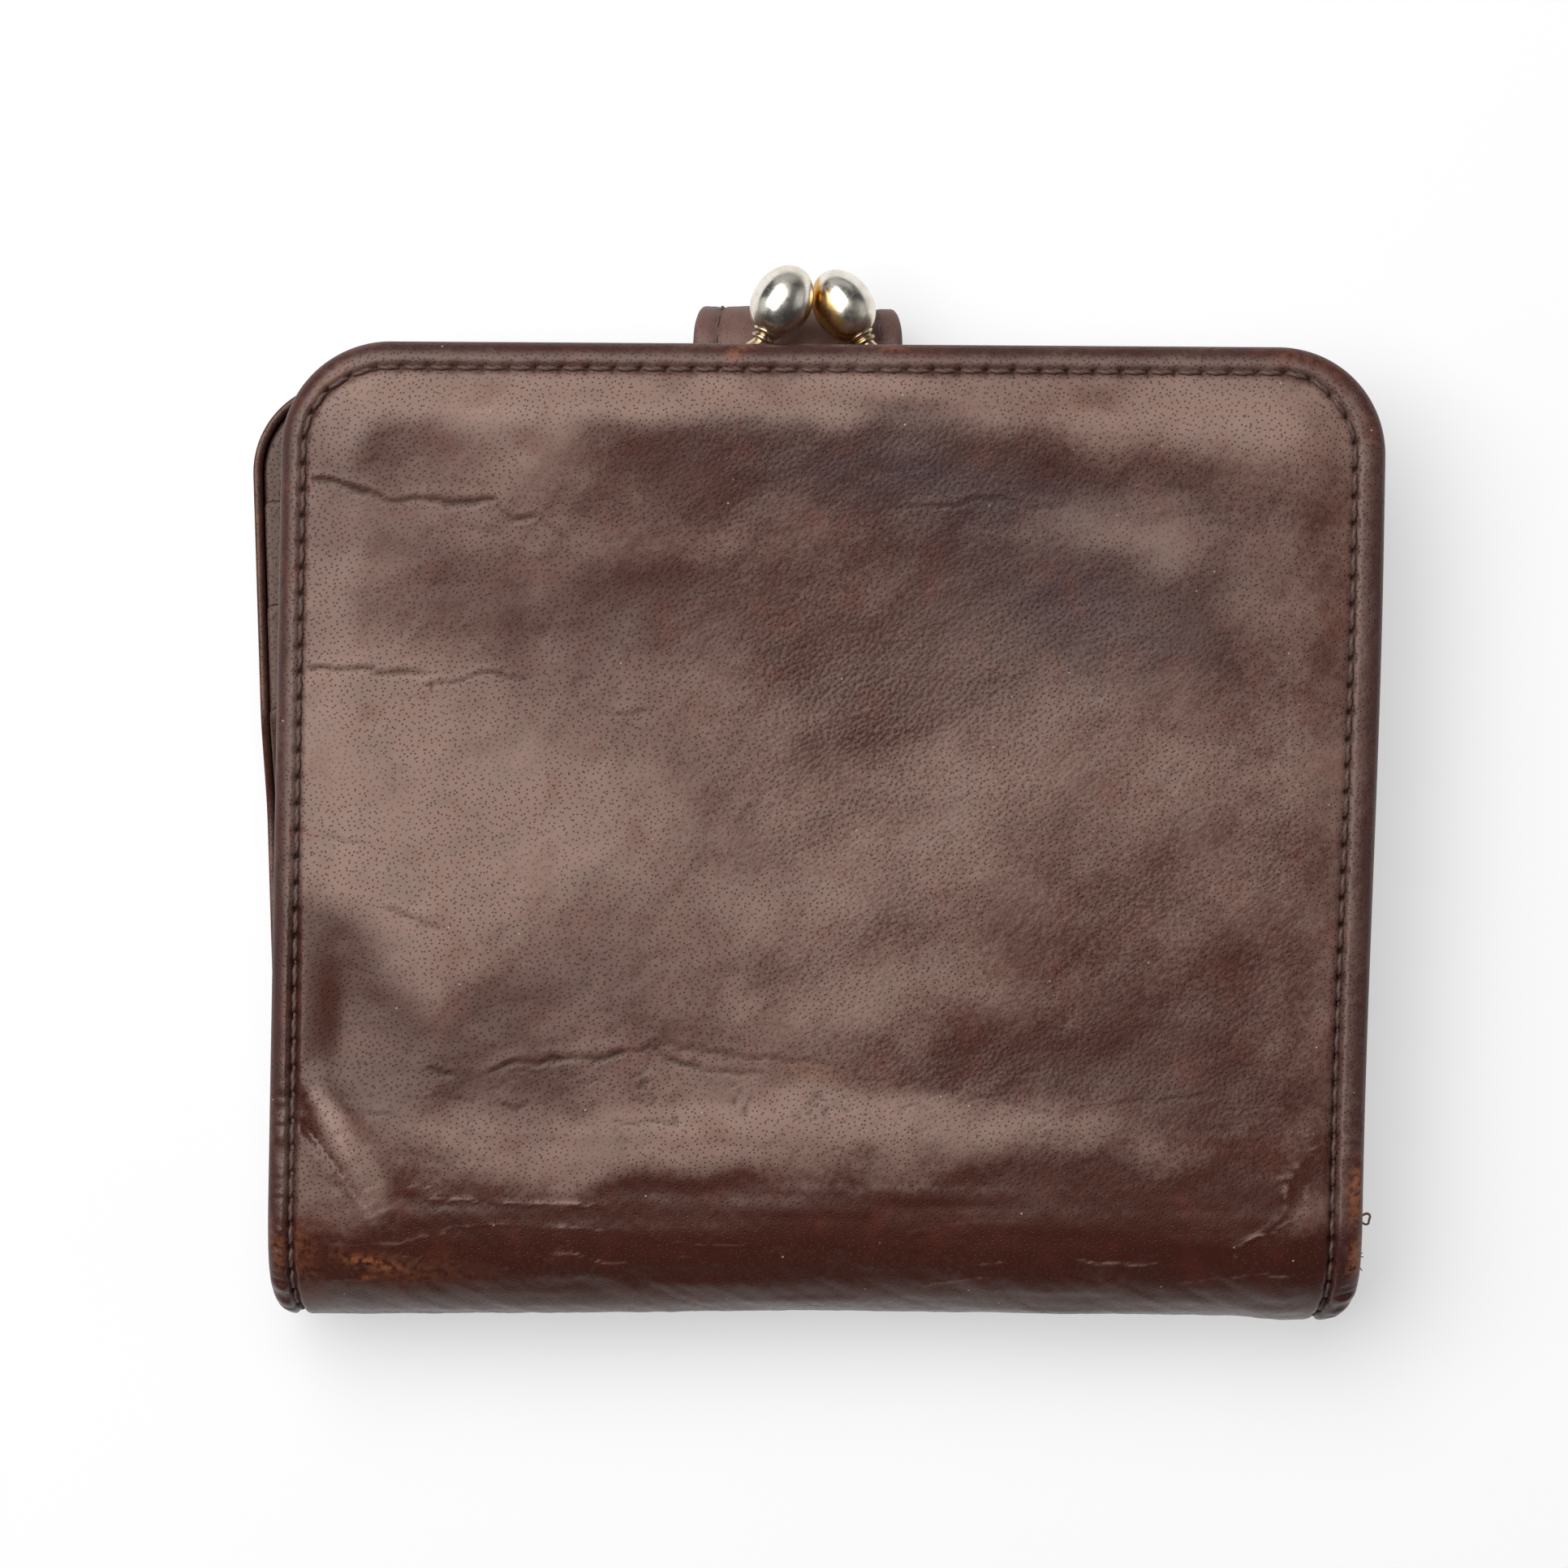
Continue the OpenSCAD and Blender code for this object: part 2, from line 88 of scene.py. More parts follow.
# flat hide: s is 0 where the roll of the spine begins on the coin half
ROLL = math.pi * ROLL_R
S_TOP = Y_HIGH - SPINE_Y
S_LOW = -ROLL - (CARD_TOP - SPINE_Y)
S_HINGE = HINGE_Y - SPINE_Y
FOOT_IN = 0.8                      # how far the spine's ends pull in, and the right one's extra
FOOT_RIGHT = 0.6
ROLL_LAP = 2.5                     # the spine's piece reaches this far past the roll
# seams
SEAM_IN = 2.8
PITCH = 2.75
HOLE_R = 0.40
BAND_RUN, BAND_DROP = 2.2, 1.5     # the rounded edge outside the seam
FACE_DROP = 0.2                    # how far the edge's top lies below the face
BACK_CLEAR = -0.03                 # the outer face of the card half keeps this clear of the table
# card pockets: heights of the panel and of the first pocket, and the y of each pocket's mouth
PANEL_LOW, PANEL_Z = -36, 3.0
POCKET_Z, POCKET_STEP = 3.8, 0.8
MOUTHS = (36.5, 25.5, 14.5, 2.0)
MOUTH_SEAM_IN, PANEL_SEAM_IN = 1.4, 1.9
# linings
CLOTH_T = 0.3
LINER_T = 0.4                      # card half's linings, and the gussets' leather
# strap
STRAP_X = JOINT["strap"][0]
STRAP_W = box_mm("strap_flap")[1][0] - box_mm("strap_flap")[0][0]
STRAP_T = 1.2
ROOT_Y = box_mm("strap_root")[0][1]
FLAP_TIP = box_mm("strap_flap")[0][1]
FLAP_Z = 1.3
STRAP_SEAM_IN = 2.4
TURN_Y = 50.3
TURN_R = (WALL_Z - FLAP_Z - STRAP_T) / 2       # to the middle of the strap's thickness
TURN_Z = FLAP_Z + STRAP_T / 2 + TURN_R
ROOT_RUN = TURN_Y - ROOT_Y
TURN_RUN = math.pi * TURN_R
STRAP_RUN = ROOT_RUN + TURN_RUN + TURN_Y - FLAP_TIP


# ---- curves and noise ----

def smooth(a, b, x):
    t = np.clip((x - a) / (b - a), 0, 1)
    return t * t * (3 - 2 * t)


def bell(gap, width):
    return np.exp(-(gap / width) ** 2)


def hill(x, y, cx, cy, rx, ry, turn=0.0):
    """1 in the middle of an oval patch, falling softly to 0."""
    c, s = math.cos(math.radians(turn)), math.sin(math.radians(turn))
    u, v = (x - cx) * c + (y - cy) * s, (y - cy) * c - (x - cx) * s
    return np.exp(-(u / rx) ** 2 - (v / ry) ** 2)


def ovals(x, y, table, start=0):
    """start plus every soft oval of a table of (x, y, radius across, radius along, turn, strength)."""
    return sum((strength * hill(x, y, *oval) for *oval, strength in table), start)


def lattice(i, j, seed):
    """A repeatable value from -1 to 1 for each lattice point."""
    n = (i * 374761393 + j * 668265263 + seed * 1442695041) & 0xFFFFFFFF
    n = ((n ^ (n >> 13)) * 1274126177) & 0xFFFFFFFF
    return ((n ^ (n >> 16)) & 0xFFFF) / 32767.5 - 1


def noise(x, y, seed):
    i, j = np.floor(x).astype(np.int64), np.floor(y).astype(np.int64)
    u, v = x - i, y - j
    u, v = u * u * u * (u * (6 * u - 15) + 10), v * v * v * (v * (6 * v - 15) + 10)
    low = lattice(i, j, seed) * (1 - u) + lattice(i + 1, j, seed) * u
    high = lattice(i, j + 1, seed) * (1 - u) + lattice(i + 1, j + 1, seed) * u
    return low * (1 - v) + high * v


def rumple(x, y, size_x, size_y, seed, octaves=3):
    total, gain = 0, 1
    for k in range(octaves):
        turn = 0.6 * k
        a = (x * math.cos(turn) - y * math.sin(turn)) / size_x * 2 ** k
        b = (x * math.sin(turn) + y * math.cos(turn)) / size_y * 2 ** k
        total = total + gain * noise(a, b, seed + k)
        gain *= 0.5
    return total


def line_gap(x, y, points):
    """Distance to a polyline, which side of it, and how far along it, from 0 to 1."""
    points = np.array(points, float)
    runs = np.hypot(*np.diff(points, axis=0).T)
    total, done = runs.sum(), 0
    best = np.full(np.shape(x), 1e9)
    side, along = np.zeros(np.shape(x)), np.zeros(np.shape(x))
    for (ax, ay), (bx, by), run in zip(points[:-1], points[1:], runs):
        dx, dy = (bx - ax) / run, (by - ay) / run
        t = np.clip((x - ax) * dx + (y - ay) * dy, 0, run)
        gap = np.hypot(x - ax - t * dx, y - ay - t * dy)
        near = gap < best
        best = np.where(near, gap, best)
        side = np.where(near, np.sign(dx * (y - ay) - dy * (x - ax)), side)
        along = np.where(near, (done + t) / total, along)
        done += run
    return best, side, along


# ---- flat outlines and grids ----

class Outline:
    """Flat outline with two straight ends, whose corners are rounded by r0 and r1."""

    def __init__(self, half, s0, s1, r0=0.0, r1=0.0):
        self.half = half if callable(half) else (lambda s: half + 0 * s)
        self.s0, self.s1, self.r0, self.r1 = s0, s1, r0, r1

    def ends(self):
        return (self.s1, self.r1, 1), (self.s0, self.r0, -1)

    def side(self, s):
        w = self.half(s)
        for end, r, up in self.ends():
            if r > 0:
                run = np.clip(r - up * (end - s), 0, r)
                w = w - (r - np.sqrt(r * r - run * run))
        return w

    def gap(self, x, s):
        """Distance in from the outline."""
        from_side = self.half(s) - np.abs(x)
        d = from_side
        for end, r, up in self.ends():
            from_end = up * (end - s)
            d = np.minimum(d, from_end)
            if r > 0:
                corner = (from_side < r) & (from_end < r)
                d = np.where(corner, r - np.hypot(r - from_side, r - from_end), d)
        return d

    def grid(self, fine, step, rows=None):
        """Points of a grid over the outline, with rows at the distances fine from its edge."""
        half = float(self.half(np.array((self.s0 + self.s1) / 2)))
        across = steps(2 * half, fine, step) / (2 * half)
        cut = 1 - math.sqrt(0.5)
        mid = self.s0 + steps(self.s1 - self.s0, fine, rows or step)
        s = np.linspace(self.s0 + self.r0 * cut, self.s1 - self.r1 * cut, 4001)
        reach = 20
        rise = [smooth(reach, 0, up * (end - up * r * cut - s)) for end, r, up in self.ends()]
        middle = s + self.r1 * cut * rise[0] - self.r0 * cut * rise[1]
        s = np.interp(mid, middle, s)[:, None]
        x = (2 * across[None, :] - 1) * self.side(s)
        grid_s = s + 0 * x
        for end, r, up in self.ends():
            if r > 0:
                chord = end - up * r * cut
                width = float(self.half(np.array(end))) - r
                end_x = np.abs(2 * across[None, :] - 1) * (width + r * math.sqrt(0.5))
                run = np.clip(end_x - width, 0, r)
                edge = end - up * (r - np.sqrt(r * r - run * run))
                grid_s = grid_s + smooth(reach, 0, up * (chord - s)) * (edge - chord)
        return x, grid_s


def steps(total, fine, step):
    """Places from 0 to total: the distances fine from either end, and steps between. step is one
    size, or a list of (where it reaches to, size)."""
    start = fine[-1]
    middle = [[start]]
    for stop, size in step if isinstance(step, list) else [(total, step)]:
        stop = min(stop, total - fine[-1])
        middle.append(np.linspace(start, stop, max(1, round((stop - start) / size)) + 1)[1:])
        start = stop
    return np.concatenate([fine[:-1], *middle, total - np.array(fine[:-1])[::-1]])


# ---- meshes ----

class Leaf:
    """Points and faces gathered for one mesh. Each point keeps its flat place and its masks."""

    def __init__(self):
        self.flat, self.grain, self.faces, self.masks, self.normals, self.count = [], [], [], [], [], 0

    def add(self, x, s, h, masks=None, normals=None, grain=None):
        """Adds a grid of points and returns their numbers. grain: where its patterns are looked up."""
        flat = np.stack(np.broadcast_arrays(x, s, h), -1).astype(float)
        shape = flat.shape[:2]
        n = shape[0] * shape[1]
        self.flat.append(flat.reshape(-1, 3))
        self.grain.append(self.flat[-1] if grain is None else np.stack(grain, -1).reshape(-1, 3))
        blank = np.zeros(shape)
        masks = masks or {}
        columns = [np.broadcast_to(masks.get(k, blank), shape).ravel() for k in MASKS]
        self.masks.append(np.stack(columns, -1))
        self.normals.append(np.zeros((n, 3)) if normals is None else normals.reshape(-1, 3))
        self.count += n
        return np.arange(self.count - n, self.count).reshape(shape)

    def skin(self, index, flip=False):
        """Faces over a grid of point numbers."""
        a, b, c, d = index[:-1, :-1], index[:-1, 1:], index[1:, 1:], index[1:, :-1]
        quads = np.stack([a, d, c, b] if flip else [a, b, c, d], -1).reshape(-1, 4)
        self.faces.append(quads)

    def make(self, name, wrap, material, slot):
        flat, masks = np.concatenate(self.flat), np.concatenate(self.masks)
        quads, normals = np.concatenate(self.faces), np.concatenate(self.normals)
        points = np.stack(wrap(*flat.T), -1) * MM
        mesh = bpy.data.meshes.new(name)
        mesh.from_pydata(points.tolist(), [], quads.tolist())
        put = mesh.attributes.new("flat", "FLOAT_VECTOR", "POINT")
        put.data.foreach_set("vector", np.concatenate(self.grain).astype(np.float32).ravel())
        for k, mask in enumerate(MASKS):
            put = mesh.attributes.new(mask, "FLOAT", "POINT")
            put.data.foreach_set("value", masks[:, k].astype(np.float32))
        mesh.validate()
        mesh.polygons.foreach_set("use_smooth", np.ones(len(mesh.polygons), bool))
        if np.abs(normals).sum() > 0:
            mesh.normals_split_custom_set_from_vertices(normals.tolist())
        obj = bpy.data.objects.new(name, mesh)
        bpy.context.scene.collection.objects.link(obj)
        mesh.materials.append(material)
        return obj


MASKS = ("tone", "violet", "wear", "dark", "pebble")


def slab(outline, thick, step, top=None, bottom=None, masks=None):
    """A closed sheet with rounded edges, its middle at h = 0. top and bottom add relief."""
    r = thick / 2
    fine = [0, 0.13 * r, 0.5 * r, r, r + 0.5 * step]
    x, s = outline.grid(fine, step)
    d = outline.gap(x, s)
    d[0], d[-1], d[:, 0], d[:, -1] = 0, 0, 0, 0
    round_off = np.sqrt(np.clip(r * r - np.clip(r - d, 0, r) ** 2, 0, None))
    inside = smooth(0, 2 * r, d)
    leaf = Leaf()
    values = masks(x, s) if masks else None
    upper = leaf.add(x, s, round_off + (inside * top(x, s) if top else 0), values)
    lower = leaf.add(x, s, -round_off + (inside * bottom(x, s) if bottom else 0), values)
    for edge in ((0, slice(None)), (-1, slice(None)), (slice(None), 0), (slice(None), -1)):
        lower[edge] = upper[edge]
    leaf.skin(upper)
    leaf.skin(lower, flip=True)
    return leaf


def tube(leaf, centre, radius, sides=8, twist=0.0, lobes=0.0, masks=None):
    """A closed thread through centre, a list of flat (x, s, h), with two twisted plies."""
    centre = np.array(centre, float)
    along = np.gradient(centre, axis=0)
    along /= np.linalg.norm(along, axis=1)[:, None]
    up = np.array([0, 0, 1.0])
    across = np.cross(along, up)
    across /= np.linalg.norm(across, axis=1)[:, None]
    rise = np.cross(across, along)
    n = len(centre)
    turn = np.linspace(0, 2 * math.pi, sides + 1)[None, :]
    ply = 1 + lobes * np.cos(2 * (turn + twist * np.linspace(0, 1, n)[:, None]))
    r = np.broadcast_to(np.array(radius, float), n)[:, None] * ply
    ring = centre[:, None, :] + (r * np.cos(turn))[..., None] * across[:, None, :]
    ring = ring + (r * np.sin(turn))[..., None] * rise[:, None, :]
    # painted shade in the groove between the two plies
    shade = {"dark": smooth(1.0 + 0.4 * lobes, 1 - lobes, ply)} if lobes else masks
    index = leaf.add(ring[..., 0], ring[..., 1], ring[..., 2], shade)
    index[:, -1] = index[:, 0]
    leaf.skin(index)


def lathe(leaf, profile, origin, axis, sides, masks):
    """Turns profile, a list of (distance along the axis, radius), round the axis."""
    axis = np.array(axis, float) / np.linalg.norm(axis)
    side = np.cross(axis, [0, 0, 1.0])
    side /= np.linalg.norm(side)
    up = np.cross(side, axis)
    profile = np.array(profile, float)
    turn = np.linspace(0, 2 * math.pi, sides + 1)[None, :, None]
    ring = np.array(origin) + profile[:, 0][:, None, None] * axis
    ring = ring + profile[:, 1][:, None, None] * (np.cos(turn) * side + np.sin(turn) * up)
    index = leaf.add(ring[..., 0], ring[..., 1], ring[..., 2], masks(ring))
    index[:, -1] = index[:, 0]
    leaf.skin(index)


def mottled(base, gain, size, seed):
    """Masks of a plain sheet, whose tone wanders about base."""
    return lambda x, s: {"tone": base + gain * rumple(x, s, size, size, seed)}


def as_is(x, y, z):
    return x, y, z


# ---- the hide: one skin from the clasp edge, round the spine, to the card half's free edge ----

def at_foot(angle):
    """1 where the roll of the spine is at its lowest y, falling to 0 on either side."""
    return bell(angle - math.pi / 2, math.radians(28))


def hide_half(s):
    angle = np.clip(-s / ROLL_R, 0, math.pi)
    card = CARD_IN * smooth(math.pi / 2, math.pi, angle)
    return HALF_W - card - FOOT_IN * at_foot(angle)


HIDE = Outline(hide_half, S_LOW, S_TOP, CARD_CORNER_R, CORNER_R)


def lift(y):
    return RISE * smooth(RISE_FROM - 1, RISE_TO + 1, y)


def slewed(x, y, share=1.0):
    """Turns a place on the card half about the middle of the spine."""
    c, s = np.cos(SKEW * share), np.sin(SKEW * share)
    return x * c - (y - Y_LOW) * s, Y_LOW + x * s + (y - Y_LOW) * c


def spread(x, y):
    """The coin half is a little wider and higher toward its top right corner."""
    wide = x + smooth(-38, 30, y) * smooth(0, HALF_W, x)
    return wide, y + 0.6 * (x + 8) / 55 * smooth(5, Y_HIGH, y)


def wrap_hide(x, s, h):
    angle = np.clip(-s / ROLL_R, 0, math.pi)
    on_card = np.maximum(-s - ROLL, 0)
    # the roll bellies out, most of all at the left, and its right end pulls in
    belly = 0.15 + 1.9 * np.clip((50 - x) / 104, 0, 1.1) ** 1.8 + 0.7 * smooth(44, 54, x)
    r = ROLL_R + h + belly * np.sin(angle) ** 2
    pull = FOOT_RIGHT * smooth(30, 57, x) * at_foot(angle)
    y = SPINE_Y + np.maximum(s, 0) - r * np.sin(angle) + on_card
    z = ROLL_R + r * np.cos(angle)
    z = z + np.where(on_card > 0, lift(y), 0)
    wide, high = spread(x - pull, y)
    on_coin = s > -ROLL / 2
    place = np.where(on_coin, wide, x - pull), np.where(on_coin, high, y)
    return *slewed(*place, smooth(0, 20, on_card)), z


def groove_in(x):
    """How far in from the edge the seam runs: it wanders a little from side to side."""
    return SEAM_IN - 0.35 * smooth(-50, -55, x) + 0.45 * smooth(50, 55, x)


def edge_walk(outline, step=0.25):
    """Points round an outline with the inward direction at each: (x, s, inward x, inward s)."""
    s = np.arange(outline.s0 + outline.r0, outline.s1 - outline.r1, step)
    rows = [np.stack([-outline.half(s), s, np.ones_like(s), 0 * s], -1)]
    for end, r, up in outline.ends():
        width = float(outline.half(np.array(end))) - r
        turn = np.linspace(0, math.pi / 2, max(2, int(r * 1.6 / step)))
        first = np.stack([-width - r * np.cos(turn), end - up * r * (1 - np.sin(turn)),
                          np.cos(turn), -up * np.sin(turn)], -1)
        flat = np.arange(-width, width, step)
        run = np.stack([flat, end + 0 * flat, 0 * flat, -up + 0 * flat], -1)
        second = first[::-1] * [-1, 1, -1, 1]
        part = np.concatenate([first, run, second])
        if up < 0:
            part = part[::-1]
        rows.append(part)
        if up > 0:
            rows.append(rows[0][::-1] * [-1, 1, -1, 1])
    return np.concatenate(rows)


def seam_line(outline, inset, pitch):
    """Places of the seam's holes, and the direction of the seam at each."""
    walk = edge_walk(outline)
    line = walk[:, :2] + inset(walk[:, 0])[:, None] * walk[:, 2:]
    line = np.concatenate([line, line[:1]])
    run = np.concatenate([[0], np.cumsum(np.hypot(*np.diff(line, axis=0).T))])
    count = int(run[-1] / pitch)
    at = np.linspace(0, run[-1], count + 1)[:-1]
    place = lambda a: np.stack([np.interp(a % run[-1], run, line[:, k]) for k in (0, 1)], -1)
    return place, at, run[-1] / count


SEAM_AT, SEAM_HOLES, SEAM_STEP = seam_line(HIDE, groove_in, PITCH)
HOLES = SEAM_AT(SEAM_HOLES)

# Creases of the coin half's face as (points, depth, width, lip): x from the middle and y up.
CREASES = [
    ([(-56.4, 35.9), (-52, 35.2), (-46, 34), (-42, 34), (-35, 33.5), (-32, 31.5), (-30, 32),
      (-28, 30.5), (-24.5, 28.5)], 0.38, 0.42, 0.12),
    ([(-39, 31.5), (-33.5, 30)], 0.1, 0.35, 0.03),
    ([(-56.6, 16.2), (-49.5, 15.5), (-46.5, 15), (-42.5, 16), (-40, 15.5)], 0.44, 0.44, 0.14),
    ([(-42.5, 14), (-40, 14.5), (-35, 16), (-32.5, 15), (-30.5, 15)], 0.26, 0.32, 0.1),
    ([(-22.5, 11.5), (-17.5, 12)], 0.12, 0.3, 0.05),
    ([(-52, -2), (-45.5, -2.5)], 0.1, 0.35, 0.04),
    ([(-45.5, -9.5), (-39, -11)], 0.16, 0.35, 0.06),
    ([(-33, -8), (-26, -7.5)], 0.06, 0.4, 0.03),
    ([(-36, -26), (-31.5, -25), (-25.5, -24), (-22, -24), (-20, -23.5), (-17.5, -23.5), (-16, -24),
      (-13, -25.5), (-9.5, -25.5), (-6, -26), (-3, -26.5)], 0.3, 0.34, 0.16),
    ([(-20, -22.5), (-12.5, -23.5), (-0.5, -24.5), (5, -25.5)], 0.12, 0.4, 0.1),
    ([(-41, -26), (-37, -27)], 0.14, 0.35, 0.06),
    ([(-34.5, -28.5), (-31.5, -29.5), (-29.5, -28.5)], 0.16, 0.35, 0.08),
    ([(-48.5, -30), (-45, -30.5), (-43.5, -31.5)], 0.16, 0.35, 0.08),
    ([(10.5, -27), (16, -27.5), (24.5, -30)], 0.08, 0.4, 0.05),
    ([(-46.5, -38), (-42.5, -39.4), (-37.5, -39.6), (-30, -40), (-20.5, -40)], 0.05, 0.3, 0.1),
    ([(-40.5, -39.5), (-37, -42.5), (-32, -45)], 0.1, 0.45, 0.05),
    ([(43, -43.4), (45.5, -41.9), (49, -40.4), (53, -37.4)], 0.06, 0.35, 0.2),
    ([(24, -30), (34, -27.5), (44, -27)], 0.06, 0.5, 0.04),
    ([(28, -45.5), (38, -44.5), (46, -45.5)], 0.05, 0.35, 0.04),
    ([(-12, -44), (0, -43.5), (14, -44), (24, -43)], 0.04, 0.4, 0.03),
    ([(5, 33), (15, 34), (26, 33.5)], 0.07, 0.4, 0.04),
    ([(30, 32), (38, 33), (45, 31)], 0.06, 0.4, 0.03),
]
# Thin pale lines where the finish has cracked, and one painted highlight along the fold's lower edge, as
# (points, strength).
PALE_LINES = [
    ([(-41.8, -38.9), (-38.9, -39.1), (-35.6, -39.5), (-32.1, -39.3), (-28.5, -39.6),
      (-20.7, -39.5)], 1),
    ([(-42.5, -38), (-40.5, -38.1), (-38.6, -38.7)], 0.7),
    # painted highlight along the lower edge of the fold's ridge
    ([(-49.2, -36.6), (-47.6, -38.6), (-46, -40.6)], 1),
    ([(-27.2, -42.2), (-24.6, -41.2), (-21.4, -41.4)], 0.5),
    ([(-30.4, -44.9), (-25.2, -44.9), (-22.6, -45.5), (-18.7, -45.9)], 0.8),
    ([(-17.4, -45), (-13, -45.3), (-9, -46)], 0.5),
    ([(16.6, -45.1), (20.5, -44.9)], 0.6),
    ([(26.3, -44.8), (30.8, -45), (36.6, -44.4)], 0.8),
    ([(37.3, -47.2), (42.5, -46.4), (44.8, -45.7), (49, -46.2), (52.5, -45.3)], 0.6),
    ([(42.8, -42.9), (45.2, -41.6), (47.2, -41.2), (50, -39.6), (53, -37.2)], 1),
    ([(51, -32.3), (53.4, -31.8)], 1.2),
    ([(51.2, -28.6), (53.2, -30.2)], 1.1),
    ([(47.6, -38.2), (49.6, -35), (50.2, -33.6)], 0.7),
    ([(49.5, -20), (52.5, -18.5)], 0.4),
]
# The pinched fold at the spine end of the left side.
FOLD_RIDGE = [(-54.5, -26), (-52, -29.5), (-49.5, -34), (-47, -38), (-45.5, -41)]
FOLD_VALLEY = [(-54.5, -31.2), (-52, -33.6), (-49.7, -36.6), (-47, -40.4), (-44.5, -43.4)]
# Swells and hollows of the stuffed purse, in millimetres: see ovals().
SWELLS = [
    (0, 42.5, 60, 7, 0, 0.8), (5, 24, 40, 7, 6, -0.3), (20, 30, 26, 5.5, -5, 0.4),
    (18, 0, 26, 8, 40, 0.25),
    (-30, -16, 12, 8, 20, -0.35), (-6, -32.5, 48, 4.6, 2, 0.55), (-49.5, -20, 4.5, 8, 6, -0.95),
]
# Card half's outer face, lying on the table: a few creases near the spine.
CARD_CREASES = [
    ([(-40, -24), (-20, -26), (2, -24.5), (25, -26.5), (44, -25)], 0.16, 0.5, 0.1),
    ([(30, 20), (41, 17), (52, 18)], 0.16, 0.4, 0.08),
    ([(-52, -8), (-44, -10), (-36, -9)], 0.14, 0.4, 0.06),
    ([(8, -33), (24, -34), (40, -32.5)], 0.1, 0.4, 0.06),
]


def crease_relief(x, y, creases, seed):
    h, dark = 0, 0
    wx = x + 0.5 * rumple(x, y, 3.2, 3.2, seed, 4)
    wy = y + 0.5 * rumple(x, y, 3.2, 3.2, seed + 7, 4)
    uneven = 0.68 + 0.32 * noise(x / 1.9, y / 1.9, seed + 13)
    for points, depth, width, lip in creases:
        gap, side, along = line_gap(wx, wy, points)
        fade = smooth(0, 0.10, along) * smooth(1, 0.75, along) * uneven
        valley = bell(gap, 0.48 * width) * fade
        h = h - 0.75 * depth * valley + 0.6 * lip * bell(gap * side - 0.6, 0.5) * fade
        # painted shade along the crease's valley
        dark = dark + valley * min(1, depth / 0.22)
    return h, dark


def veins(x, y, size_x, size_y, seed, width=0.15, octaves=3):
    """Broken hairlines, 1 on a line and 0 away from it."""
    e = 0.05
    level = rumple(x, y, size_x, size_y, seed, octaves)
    slope = np.hypot(rumple(x + e, y, size_x, size_y, seed, octaves) - level,
                     rumple(x, y + e, size_x, size_y, seed, octaves) - level) / e
    broken = smooth(-0.05, 0.35, noise(2.3 * x / size_x + 5, 0.9 * y / size_y, seed + 9))
    return bell(level, slope * width + 1e-6) * broken


def hairlines(x, s, y):
    """Hairlines of the face: pale ones by the spine and at its right end, dark ones above."""
    wavy = s + 0.35 * rumple(x, s, 5, 5, 405)
    spine = veins(x, wavy, 30, 3.2, 401, 0.13, 1) * smooth(-38.5, -42, y) * smooth(-49.5, -48, y)
    wx, wy = x + 0.35 * rumple(x, y, 2.6, 2.6, 441, 3), y + 0.35 * rumple(x, y, 2.6, 2.6, 443, 3)
    drawn = 0
    for points, strength in PALE_LINES:
        gap, _, along = line_gap(wx, wy, points)
        drawn = drawn + strength * bell(gap, 0.13) * smooth(0, 0.15, along) * smooth(1, 0.85, along)
    drawn = drawn * (0.75 + 0.45 * noise(x / 0.8, y / 0.8, 445))
    crinkle = veins(x, s, 1.3, 2.6, 421) * hill(x, y, 50.6, -33, 3.4, 6.5, -20)
    corner = 0.5 * veins(x, s, 9, 1.3, 425) * hill(x, y, -38, -46, 9, 2)
    pale = np.clip(drawn + 0.5 * spine + crinkle + corner, 0, 1)
    low = hill(x, y, -16, -29, 34, 6) + 0.5 * hill(x, y, 28, -31, 24, 5)
    dark = veins(x, s, 6, 2.4, 411) * np.clip(low, 0, 1)
    dark = dark + 0.45 * veins(x, s, 16, 6, 431) * hill(x, y, -38, 18, 26, 26)
    return pale, np.clip(dark, 0, 1)


def side_kinks(s):
    """Short pinches across the bound edges, below the frame's rivets."""
    low = smooth(S_HINGE + 1, S_HINGE - 4, s) * smooth(-ROLL - 9, -ROLL + 2, s)
    return low * (0.22 * noise(s / 1.3, 0 * s, 71) + 0.12 * noise(s / 0.5, 0 * s, 72))


